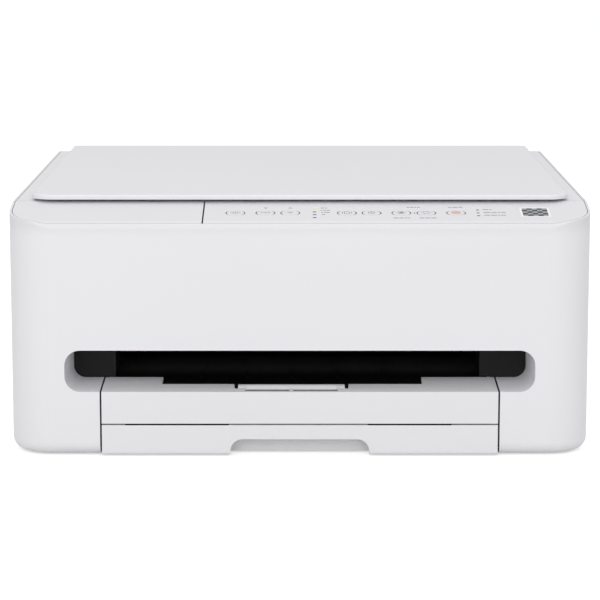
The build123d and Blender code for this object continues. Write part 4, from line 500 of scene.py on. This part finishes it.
looks = {
    "case": plastic("case_white_plastic", CASE_WHITE, 0.5, 2600.0, 0.12),
    "shell": zoned("shell_white_with_painted_shade", (CASE_WHITE, 0.5, 0), [
        # Painted shade: the case darkens upwards over its top rim to the strip's tone.
        (FADE_ZONE, fade((0, 0, 1), *RIM_SHADE_FADE), RIM_PAINTED_SHADE),
        # Painted shade: the bay walls inside the tray's side seams are dark grey, so the seams read dark.
        (BOX_ZONE, between(*LEFT_BAY_WALL, high_z=BAY_WALL_TOP), SEAM_PAINTED_SHADE),
        (BOX_ZONE, between(*RIGHT_BAY_WALL, high_z=BAY_WALL_TOP), SEAM_PAINTED_SHADE),
    ], gloss=0.4),
    "drawer": zoned("drawer_white_with_painted_shade", (LOWER_WHITE, 0.5, 0), [
        # Painted shade: two stretches of the cassette front's top face are near black, as the seam under
        # the tray.
        (BOX_ZONE, between(*LEFT_RECESS, low_z=DRAWER_TOP), RECESS_PAINTED_SHADE),
        (BOX_ZONE, between(*RIGHT_RECESS, low_z=DRAWER_TOP), RECESS_PAINTED_SHADE),
    ], gloss=0.4),
    "lid": plastic("lid_white_plastic", LID_WHITE, 0.48, 3200.0, 0.10),
    "strip": plastic("strip_white_plastic", TOP_WHITE, 0.48, 3200.0, 0.08),
    "lower": plastic("tray_white_plastic", LOWER_WHITE, 0.5, 2600.0, 0.12),
    "button": plastic("button_white_plastic", TOP_WHITE, 0.42, 3600.0, 0.05),
    "grip": plastic("grip_grey_plastic", GRIP_GREY, 0.5, 2600.0, 0.1),
    # Painted shade: this grey stands for the dark gap in front of the sheet stop.
    "hinge": plastic("hinge_painted_shade_grey", (140, 140, 143), 0.5, 2200.0, 0.2, 0.2),
    # The flap is white plastic, made whiter than the case as painted light for the extra light its bevel
    # catches.
    "flap": plastic("flap_white_painted_highlight", (240, 240, 242), 0.4, 2600.0, 0.06),
    "floor": zoned("floor_black_plastic", (FLOOR_BLACK, 0.55, 0), [
        (FADE_ZONE, fade((0, 1, 0), *FLOOR_FADE), (FLOOR_GREY, 0.55, 0)),
    ], gloss=0.15),
    "fascia": zoned("frame_grey_plastic", (DEEP_GREY, 0.5, 0), [
        (BOX_ZONE, between(-FAR, TUNNEL_LEFT), FLANK_FINISH),
        (BOX_ZONE, between(TUNNEL_RIGHT, FAR), FLANK_FINISH),
    ], gloss=0.12),
    "feed": zoned("feed_roller_finish", SHAFT_STEEL, [
        (BOX_ZONE, between(-RUBBER_END, RUBBER_END), RUBBER), (BOX_ZONE, between(-FAR, GEAR_FACE), ACETAL),
    ]),
    "eject": zoned("eject_roller_finish", SHAFT_STEEL, [
        (SLEEVE_ZONE, sleeve(*EJECT_SLEEVE), RUBBER), (BOX_ZONE, between(-FAR, GEAR_FACE), ACETAL),
    ]),
    "pinch": zoned("pinch_roller_finish", SHAFT_STEEL, [
        (SLEEVE_ZONE, sleeve(*PINCH_SLEEVE), ((64, 65, 68), 0.5, 0)),
    ]),
    "circuit": zoned("board_finish", ((30, 98, 60), 0.35, 0), [
        (BOX_ZONE, between(-FAR, BOARD_FACE), ((26, 26, 28), 0.4, 0)),
    ]),
    "black": plastic("black_plastic", BLACK, 0.42, 2200.0, 0.2),
    "dark": plastic("dark_grey_plastic", (70, 71, 74), 0.5, 2200.0, 0.2),
    "gear": plastic("gear_acetal", *ACETAL[:2], 4000.0, 0.05),
    "rubber": plastic("black_rubber", *RUBBER[:2], 1800.0, 0.35, 0.25),
    "sheet": steel("zinc_sheet", (196, 199, 203), 0.34, (12.0, 260.0, 260.0)),
    "shaft": steel("ground_shaft", (205, 206, 209), 0.22, (900.0, 60.0, 60.0)),
    "can": steel("motor_can", (188, 190, 194), 0.32, (60.0, 300.0, 300.0)),
    "film": plastic("encoder_film", (196, 200, 205), 0.2, 3000.0, 0.02),
    "glass": glass_material(),
    "foam": plastic("pad_foam", (236, 236, 236), 0.9, 900.0, 0.4, 0.2),
    "ink": plastic("grey_ink", MARK_GREY, 0.6, 5000.0, 0.02, 0.2),
    "dark_ink": plastic("dark_ink", (104, 104, 108), 0.6, 5000.0, 0.02, 0.2),
    "teal_ink": plastic("teal_ink", (128, 162, 160), 0.6, 5000.0, 0.02, 0.2),
    "red_ink": plastic("pale_red_ink", (224, 176, 174), 0.6, 5000.0, 0.02, 0.2),
    "window": plastic("light_window", (104, 99, 116), 0.25, 5000.0, 0.02, 0.5),
    "lit": plastic("lit_window", (232, 234, 180), 0.25, 5000.0, 0.02, 0.5),
    "label_white": plastic("label_white", (244, 244, 244), 0.5, 3000.0, 0.02, 0.3),
    "label_pattern": label_material(),
}

dress = {
    "outer_case": "shell", "base_pan": "dark", "rubber_feet": "rubber", "output_fascia": "fascia",
    "chassis": "sheet", "encoder_strip": "film", "platen": "black", "star_wheel_bar": "dark",
    "purge_unit": "dark", "power_supply": "black", "main_board": "circuit", "power_inlet": "black",
    "usb_port": "sheet", "feed_motor": "can", "carriage_motor": "can", "carriage_belt": "rubber",
    "hinge_pins": "shaft", "feed_roller": "feed", "eject_roller": "eject", "idler_gear": "gear",
    "feed_pinion": "gear", "star_wheels": "shaft", "pinch_rollers": "pinch", "drive_pulley": "shaft",
    "idler_pulley": "shaft", "carriage": "black", "black_cartridge": "black", "colour_cartridge": "dark",
    "black_latch": "dark", "colour_latch": "dark", "pickup_arm": "dark", "pickup_roller": "rubber",
    "cassette_tray": "black", "cassette_front": "drawer", "left_paper_guide": "dark",
    "right_paper_guide": "dark", "guide_pinion": "gear", "end_paper_guide": "dark",
    "output_tray": "lower", "tray_floor": "floor", "sheet_stop": "grip", "rear_cover": "case",
    "scanner_base": "case", "scanner_top": "lid", "front_left_cover": "strip",
    "operation_panel": "strip", "scanner_glass": "glass", "scan_rail": "shaft", "scan_bar": "black",
    "lid_cover": "lid", "lid_pad": "foam", "lid_hinges": "lid",
}
for name, node in nodes.items():
    node.data.materials.clear()
    node.data.materials.append(looks[dress.get(name, "button")])

# New pieces. Every one is a mesh in metres, with its object at the origin


def shell(name, points, faces, look, body):
    """Object from points and faces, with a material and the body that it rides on."""
    mesh = bpy.data.meshes.new(name)
    mesh.from_pydata(np.asarray(points).reshape(-1, 3).tolist(), [], faces)
    mesh.materials.append(look)
    piece = bpy.data.objects.new(name, mesh)
    scene.collection.objects.link(piece)
    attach(piece, body)
    return piece


def tube_faces(rings, around, start=0):
    """Faces of a closed tube: rings loops of points, around points in a loop, both ends capped."""
    index = start + np.arange(rings * around).reshape(rings, around)
    turned = np.roll(index, -1, 1)
    sides = np.stack([index[:-1], turned[:-1], turned[1:], index[1:]], -1).reshape(-1, 4).tolist()
    return sides + [index[0, ::-1].tolist(), index[-1].tolist()]


def smooth(piece, angle=40):
    """Smooth shading, with edges sharper than an angle kept crisp."""
    piece.data.shade_smooth()
    piece.data.set_sharp_from_angle(angle=radians(angle))


def strip_point(x, along, lift):
    """Point over the sloped strip, from three places in mm: across, up the slope from its front edge, and
    off it."""
    y = STRIP_FRONT[0] + along * cos(STRIP_ANGLE) - lift * sin(STRIP_ANGLE)
    z = STRIP_FRONT[1] + along * sin(STRIP_ANGLE) + lift * cos(STRIP_ANGLE)
    return np.stack([x + 0 * y, y, z], -1) * MM


def stroke(path, width):
    """Flat bar along a path of (across, along) points on the strip.

    At each point the bar's two edges lie half a width to the left and right of the path, across the
    mean of the directions before and after it, and its loop has four corners: the edges below and above.
    """
    path = np.asarray(path, float)
    step = np.diff(path, axis=0)
    step /= np.linalg.norm(step, axis=1, keepdims=True)
    ahead = np.concatenate([step[:1], step[:-1] + step[1:], step[-1:]])
    ahead /= np.linalg.norm(ahead, axis=1, keepdims=True)
    side = np.stack([ahead[:, 1], -ahead[:, 0]], -1) * width / 2
    left, right = path - side, path + side
    corners = [(left, INK_LOW), (right, INK_LOW), (right, INK_HIGH), (left, INK_HIGH)]
    loops = np.stack([strip_point(edge[:, 0], edge[:, 1], lift) for edge, lift in corners], 1)
    return loops.reshape(-1, 3), tube_faces(len(path), 4)


def patch(middle, size, corner):
    """Flat rounded patch on the strip: the outline's point at angle t is a quarter circle's, moved out to
    the corner that t faces, once at the bottom and once at the top of the ink."""
    turn = np.linspace(0, 2 * np.pi, PATCH_POINTS, endpoint=False) + np.pi / PATCH_POINTS
    reach = np.array(size) / 2 - corner
    x = middle[0] + np.sign(np.cos(turn)) * reach[0] + corner * np.cos(turn)
    along = middle[1] + np.sign(np.sin(turn)) * reach[1] + corner * np.sin(turn)
    loops = np.stack([strip_point(x, along, lift) for lift in (INK_LOW, INK_HIGH)])
    return loops.reshape(-1, 3), tube_faces(2, PATCH_POINTS)


def arc(middle, radius, start, end, points=10):
    """Path of a circle's arc between two angles in degrees: middle plus radius times (cos t, sin t)."""
    turn = np.radians(np.linspace(start, end, points))
    return np.stack([middle[0] + radius * np.cos(turn), middle[1] + radius * np.sin(turn)], -1)


def dashes(start, along, lengths, width=1.0, gap=0.6):
    """Row of short bars that stands for a caption: each bar starts a gap after the one before."""
    ends = start + np.cumsum(np.array(lengths) + gap) - gap
    return [stroke([(end - length, along), (end, along)], width) for end, length in zip(ends, lengths)]


def printed(name, parts, look, body):
    """One piece from several flat bars and patches."""
    points, faces, count = [], [], 0
    for part_points, part_faces in parts:
        points.append(part_points)
        faces += [[corner + count for corner in face] for face in part_faces]
        count += len(part_points)
    return shell(name, np.concatenate(points), faces, look, body)


def at(centre, *paths, width=0.45):
    """Bars for paths given from a button's middle."""
    return [stroke(np.asarray(path) + (centre, SIGN_LINE), width) for path in paths]


def button_signs():
    """Small plain sign on each button cap, riding on the button."""
    ring = arc((0, 0), 1.7, -230, 50, 18)
    page = [(-1.6, -2.0), (1.6, -2.0), (1.6, 1.2), (0.7, 2.0), (-1.6, 2.0), (-1.6, -2.0)]
    signs = {
        "power_button": (
            ring, [(0, 0.3), (0, 2.4)], [(-2.9, -1.2), (-2.9, 0.8)], [(2.9, -1.2), (2.9, 0.8)],
        ),
        "network_button": (
            [(-2.9, 0), (2.9, 0)], [(-2.4, 0), (-2.4, 1.5)], [(0, -1.5), (0, 0)], [(2.4, 0), (2.4, 1.5)],
        ),
        "wireless_button": (
            arc((0, -1.5), 1.3, 40, 140, 6), arc((0, -1.5), 2.7, 45, 135, 8), [(0, -1.7), (0, -1.1)],
        ),
        "paper_button": (page, [(-2.9, -1.6), (-2.9, 1.6)], [(2.9, -1.6), (2.9, 1.6)]),
        "information_button": (arc((0, 0), 2.0, 0, 360, 20), [(0, -1.1), (0, 0.3)], [(0, 0.9), (0, 1.3)]),
        "black_button": (page, [(-3.0, 0), (-2.2, 0)], [(2.2, 0), (3.0, 0)]),
        "colour_button": (page, [(-3.4, 0), (-2.2, 0)], [(2.2, 0), (3.4, 0)]),
    }
    for name, paths in signs.items():
        centre = BUTTONS[name]
        bars = at(centre, *paths)
        if name == "black_button":
            bars.append(patch((centre, SIGN_LINE), (1.7, 2.4), 0.5))
        ink = looks["teal_ink"] if name == "colour_button" else looks["ink"]
        printed(name + "_sign", bars, ink, name)
    mark = patch((BUTTONS["stop_button"], SIGN_LINE + 0.2), (6.3, 5.6), 2.3)
    printed("stop_button_sign", [mark], looks["red_ink"], "stop_button")


def panel_marks():
    """Marks on the panel round the buttons, riding on the scanner: brackets, arrows, dots and bars."""
    bars = []
    for centre in BUTTONS.values():
        for side in (-1, 1):
            middle = (centre + side * BRACKET_MIDDLE, BUTTON_LINE)
            turn = 0 if side > 0 else 180
            bars.append(stroke(arc(middle, BRACKET_RADIUS, turn - 50, turn + 50, 9), 0.5))
    network, wireless = BUTTONS["network_button"], BUTTONS["wireless_button"]
    bars.append(stroke([(network - 0.9, 32.2), (network, 30.6), (network + 0.9, 32.2)], 0.7))
    bars.append(stroke([(wireless - 0.9, 30.6), (wireless, 32.2), (wireless + 0.9, 30.6)], 0.7))
    bars.append(patch((74.0, BUTTON_LINE), (1.2, 1.6), 0.5))
    printed("panel_brackets", bars, looks["dark_ink"], "scanner")
    rows = []
    for start, along, lengths in CAPTIONS:
        rows += dashes(start, along, lengths)
    printed("panel_captions", rows, looks["ink"], "scanner")


def status_lights():
    """Two columns of small light windows in the panel, the first of them lit."""
    dark = [patch((9.5, along), (2.4, 2.0), 0.7) for along in (23.2, 17.3, 11.2)]
    printed("light_windows", dark, looks["window"], "scanner")
    printed("lit_window", [patch((9.6, 30.8), (3.0, 2.2), 0.8)], looks["lit"], "scanner")
    right = [patch((115.0, along), (2.0, 1.8), 0.7) for along in (27.2, 21.0, 15.2)]
    printed("paper_windows", right, looks["window"], "scanner")


def pattern_label():
    """Square label with an even pattern of small squares inside a plain white border."""
    border = [patch(LABEL_MIDDLE, (19.0, 19.5), 0.6)]
    printed("label_border", border, looks["label_white"], "scanner")
    half = LABEL_SIDE / 2
    outline = [(-half, -half), (half, -half), (half, half), (-half, half)]
    loops = np.array([
        [strip_point(LABEL_MIDDLE[0] + x, LABEL_MIDDLE[1] + along, lift) for x, along in outline]
        for lift in (INK_HIGH, LABEL_HIGH)
    ])
    print_look = looks["label_pattern"]
    square = shell("label_square", loops, tube_faces(2, 4), print_look, "scanner")
    layer = square.data.uv_layers.new(name="pattern")
    places = np.array([square.data.vertices[loop.vertex_index].co[:] for loop in square.data.loops])
    span = (places - loops[0, 0])[:, :2] / (LABEL_SIDE * MM)
    layer.data.foreach_set("uv", span.astype(np.float32).ravel())


def stop_flap():
    """Sheet stop of the tray's lip, with the pins that it turns on.

    Its profile at a station across is a closed loop: flat top at the lip's level, steep finger bevel,
    thin web to the barrel, round front, and back along a lower face STOP_THICKNESS below the top. The
    start, run and drop of the bevel are BEVEL_IN_MIDDLE, and ease to BEVEL_AT_ENDS near both ends by the
    smooth step 3t^2 - 2t^3 of the distance from the end.
    """
    left, right = STOP_SPAN
    step = np.array([0, 0.15, 0.5, 1.5, 3.0, 4.0, 4.6, 5.2, 6.0, 7.0])
    x = np.concatenate([left + step, np.linspace(left + 9, right - 9, 12), right - step[::-1]])
    edge = np.minimum(x - left, right - x)
    ease = np.clip((edge - EASE_START) / EASE_RUN, 0, 1)
    ease = ease * ease * (3 - 2 * ease)
    start, run, drop = (end + (middle - end) * ease for end, middle in zip(BEVEL_AT_ENDS, BEVEL_IN_MIDDLE))
    round_end = np.where(edge < 0.3, 0.25 * (1 - edge / 0.3), 0)

    def level(y):
        return LIP_LEVEL + (y - STRIP_FRONT[0]) * LIP_SLOPE

    barrel_y, barrel_z = STOP_AXIS
    turn = np.radians(HINGE_TURN)
    foot = start - run
    rows = [
        (0 * x + STOP_BACK, level(STOP_BACK) - round_end),
        (start + 0.3, level(start + 0.3) - round_end),
        (start, level(start) - 0.06 - round_end),
        (start - 0.25, level(start) - 0.3 - round_end / 2),
        (foot, level(start) - drop),
    ]
    web = np.minimum(level(start) - drop - 0.1, barrel_z + 0.55)
    rows += [(np.minimum(foot - 0.3, barrel_y + 1.6), np.maximum(web, barrel_z + 0.45))]
    rows += [
        (barrel_y + BARREL_RADIUS * np.cos(t) + 0 * x, barrel_z + BARREL_RADIUS * np.sin(t) + 0 * x)
        for t in turn
    ]
    rows += [
        (barrel_y + 2.0 + 0 * x, barrel_z - BARREL_RADIUS + 0 * x),
        (foot + 0.9, np.minimum(level(start) - drop - 1.0, barrel_z - 0.4)),
        (start + 1.0, level(start + 1.0) - STOP_THICKNESS),
        (0 * x + STOP_BACK - 0.5, level(STOP_BACK) - STOP_THICKNESS),
        (0 * x + STOP_BACK, level(STOP_BACK) - 1.3),
    ]
    loops = np.stack([np.stack([x, y + 0 * x, z + 0 * x], -1) for y, z in rows], 1) * MM
    around = loops.shape[1]
    parts = [(loops.reshape(-1, 3), tube_faces(len(x), around))]
    turn = np.linspace(0, 2 * np.pi, PIN_POINTS, endpoint=False)
    for span in ((left - PIN_LENGTH, left + 0.1), (right - 0.1, right + PIN_LENGTH)):
        pin = [
            [(px, barrel_y + PIN_RADIUS * np.cos(t), barrel_z - PIN_RADIUS * np.sin(t)) for t in turn]
            for px in span
        ]
        parts.append((np.array(pin).reshape(-1, 3) * MM, tube_faces(2, PIN_POINTS)))
    flap = printed("sheet_stop_flap", parts, looks["flap"], "sheet_stop")
    # Painted shade: the web and barrel, away from the ends, take a darker grey as the shade in the gap in
    # front of the stop.
    flap.data.materials.append(looks["hinge"])
    hinge = np.zeros(len(flap.data.polygons), np.int32)
    cells = hinge[: (len(x) - 1) * around].reshape(len(x) - 1, around)
    bevel_foot = 4
    barrel_end = bevel_foot + 2 + len(HINGE_TURN)
    inner = (x[:-1] > left + HINGE_SHADE_INSET) & (x[1:] < right - HINGE_SHADE_INSET)
    cells[inner, bevel_foot:barrel_end] = 1
    flap.data.polygons.foreach_set("material_index", hinge)
    smooth(flap, 35)
    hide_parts("sheet_stop")


def resample(x, y, parts):
    """Outline with extra points on its long straight runs, so that each run can be bent: a gap between
    neighbours that is over LONG_GAP is divided evenly into parts."""
    gap = np.hypot(np.roll(x, -1) - x, np.roll(y, -1) - y)
    out_x, out_y = [], []
    for k in range(len(x)):
        share = np.linspace(0, 1, parts, endpoint=False) if gap[k] > LONG_GAP else np.zeros(1)
        following = (k + 1) % len(x)
        out_x.append(x[k] + (x[following] - x[k]) * share)
        out_y.append(y[k] + (y[following] - y[k]) * share)
    return np.concatenate(out_x), np.concatenate(out_y)


def foam_pad():
    """Soft pad glued under the lid.

    Rings of a rounded rectangle run from the middle of its flat top out over the rounded edge and back
    to the middle of its lower face. That face is crowned: it hangs lowest in the middle, and rises to the
    edge as the sixth power of the ring's scale. The sides pull in a little between the corners, as a cosine
    of the place along them.
    """
    low, high = (np.array(corner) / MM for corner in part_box("lid_pad"))
    middle, half = (low + high) / 2, (high - low) / 2
    turn = np.linspace(0, 2 * np.pi, PAD_POINTS, endpoint=False) + np.pi / PAD_POINTS
    x = np.sign(np.cos(turn)) * (half[0] - PAD_CORNER) + PAD_CORNER * np.cos(turn)
    y = np.sign(np.sin(turn)) * (half[1] - PAD_CORNER) + PAD_CORNER * np.sin(turn)
    x, y = resample(x, y, RUN_PARTS)
    pull_x = PAD_PULL * np.cos(np.pi * y / (2 * half[1])) * (np.abs(x) > half[0] - PAD_CORNER)
    pull_y = PAD_PULL * np.cos(np.pi * x / (2 * half[0])) * (np.abs(y) > half[1] - PAD_CORNER)
    x, y = x - np.sign(x) * pull_x, y - np.sign(y) * pull_y
    edge = high[2] - low[2]
    top = [(scale, high[2]) for scale in (0.02, 0.5, 0.9)]
    side = []
    for t in np.radians(np.linspace(90, -90, 9)):
        fall = 1 if t > 0 else 1 - 2 * PAD_CROWN
        side.append((1 - PAD_ROUND * (1 - np.cos(t)), middle[2] + edge / 2 * np.sin(t) * fall))
    crown = [
        (scale, low[2] + PAD_CROWN * edge * scale**6)
        for scale in (0.97, 0.94, 0.88, 0.8, 0.6, 0.4, 0.2, 0.02)
    ]
    rings = np.array([
        np.stack([middle[0] + x * scale, middle[1] + y * scale, 0 * x + z], -1)
        for scale, z in top + side + crown
    ])
    faces = [face[::-1] for face in tube_faces(len(rings), len(x))]
    pad = shell("foam_pad", rings * MM, faces, looks["foam"], "lid")
    smooth(pad, 60)
    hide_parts("lid_pad")


button_signs()
panel_marks()
status_lights()
pattern_label()
stop_flap()
foam_pad()

# Stage, light and camera


def stage_material(name, colour, glow):
    """Floor: takes light and shadow, and glows for the camera, in mirrors and through glass, so that it
    reads as white."""
    material, tree, shader = new_material(name)
    shader.inputs["Base Color"].default_value = linear(colour)
    shader.inputs["Roughness"].default_value = 1.0
    shader.inputs["Specular IOR Level"].default_value = 0.0
    path = tree.nodes.new("ShaderNodeLightPath")
    seen = tree.nodes.new("ShaderNodeMath")
    seen.operation = "MAXIMUM"
    seen_too = tree.nodes.new("ShaderNodeMath")
    seen_too.operation = "MAXIMUM"
    level = tree.nodes.new("ShaderNodeMath")
    level.operation = "MULTIPLY"
    level.inputs[1].default_value = glow
    tree.links.new(path.outputs["Is Camera Ray"], seen.inputs[0])
    tree.links.new(path.outputs["Is Glossy Ray"], seen.inputs[1])
    tree.links.new(seen.outputs["Value"], seen_too.inputs[0])
    tree.links.new(path.outputs["Is Transmission Ray"], seen_too.inputs[1])
    tree.links.new(seen_too.outputs["Value"], level.inputs[0])
    tree.links.new(level.outputs["Value"], shader.inputs["Emission Strength"])
    shader.inputs["Emission Color"].default_value = (1, 1, 1, 1)
    return material


def grid_mesh(name, points):
    """Mesh from a grid of points (rows, columns, 3): each cell of the grid is one face."""
    rows, columns, _ = points.shape
    index = np.arange(rows * columns).reshape(rows, columns)
    faces = np.stack([index[:-1, :-1], index[:-1, 1:], index[1:, 1:], index[1:, :-1]], -1).reshape(-1, 4)
    mesh = bpy.data.meshes.new(name)
    mesh.from_pydata(points.reshape(-1, 3).tolist(), [], faces.tolist())
    return mesh


def floor():
    """Flat square floor at table height: x and y each run over an even grid, z is 0."""
    reach = np.linspace(-6.0, 6.0, 3)
    x, y = np.meshgrid(reach, reach)
    plane = bpy.data.objects.new("floor", grid_mesh("floor", np.stack([x, y, 0 * x], -1)))
    plane.data.materials.append(stage_material("studio_floor", STAGE_GREY, FLOOR_GLOW))
    scene.collection.objects.link(plane)


def soft_box(name, place, aim, size, power):
    """Large soft area lamp that faces a point."""
    lamp = bpy.data.lights.new(name, "AREA")
    lamp.shape = "RECTANGLE"
    lamp.size, lamp.size_y = size
    lamp.energy = power
    holder = bpy.data.objects.new(name, lamp)
    holder.location = place
    away = np.subtract(place, aim)
    holder.rotation_euler = (atan2(np.hypot(away[0], away[1]), away[2]), 0, atan2(away[0], -away[1]))
    scene.collection.objects.link(holder)


def studio_world():
    """Even soft light, which camera and transmission rays see as white."""
    world = bpy.data.worlds.new("studio")
    world.use_nodes = True
    scene.world = world
    tree = world.node_tree
    background = tree.nodes["Background"]
    background.inputs["Color"].default_value = (1, 1, 1, 1)
    path = tree.nodes.new("ShaderNodeLightPath")
    level = tree.nodes.new("ShaderNodeMapRange")
    level.inputs["To Min"].default_value = WORLD_LIGHT
    level.inputs["To Max"].default_value = 1.0
    seen = tree.nodes.new("ShaderNodeMath")
    seen.operation = "MAXIMUM"
    tree.links.new(path.outputs["Is Camera Ray"], seen.inputs[0])
    tree.links.new(path.outputs["Is Transmission Ray"], seen.inputs[1])
    tree.links.new(seen.outputs["Value"], level.inputs["Value"])
    tree.links.new(level.outputs["Result"], background.inputs["Strength"])


def camera():
    """Camera with the photograph's place, angle and frame."""
    lens = bpy.data.cameras.new("camera")
    lens.sensor_width = SENSOR
    lens.lens = FOCAL_PIXELS / IMAGE_PIXELS * SENSOR
    lens.shift_x = (IMAGE_PIXELS / 2 - AXIS_PIXEL[0]) / IMAGE_PIXELS
    lens.shift_y = (AXIS_PIXEL[1] - IMAGE_PIXELS / 2) / IMAGE_PIXELS
    lens.clip_end = 50
    holder = bpy.data.objects.new("camera", lens)
    holder.location = CAMERA_PLACE
    holder.rotation_euler = (radians(90 - CAMERA_PITCH), 0, 0)
    scene.collection.objects.link(holder)
    scene.camera = holder


floor()
soft_box("front_box", (-0.2, -2.4, 1.3), (0, 0, 0.08), (2.4, 1.6), FRONT_BOX_POWER)
soft_box("top_box", (0, 0.1, 2.2), (0, 0, 0.1), (2.6, 2.6), TOP_BOX_POWER)
studio_world()
camera()
scene.view_settings.view_transform = "Standard"
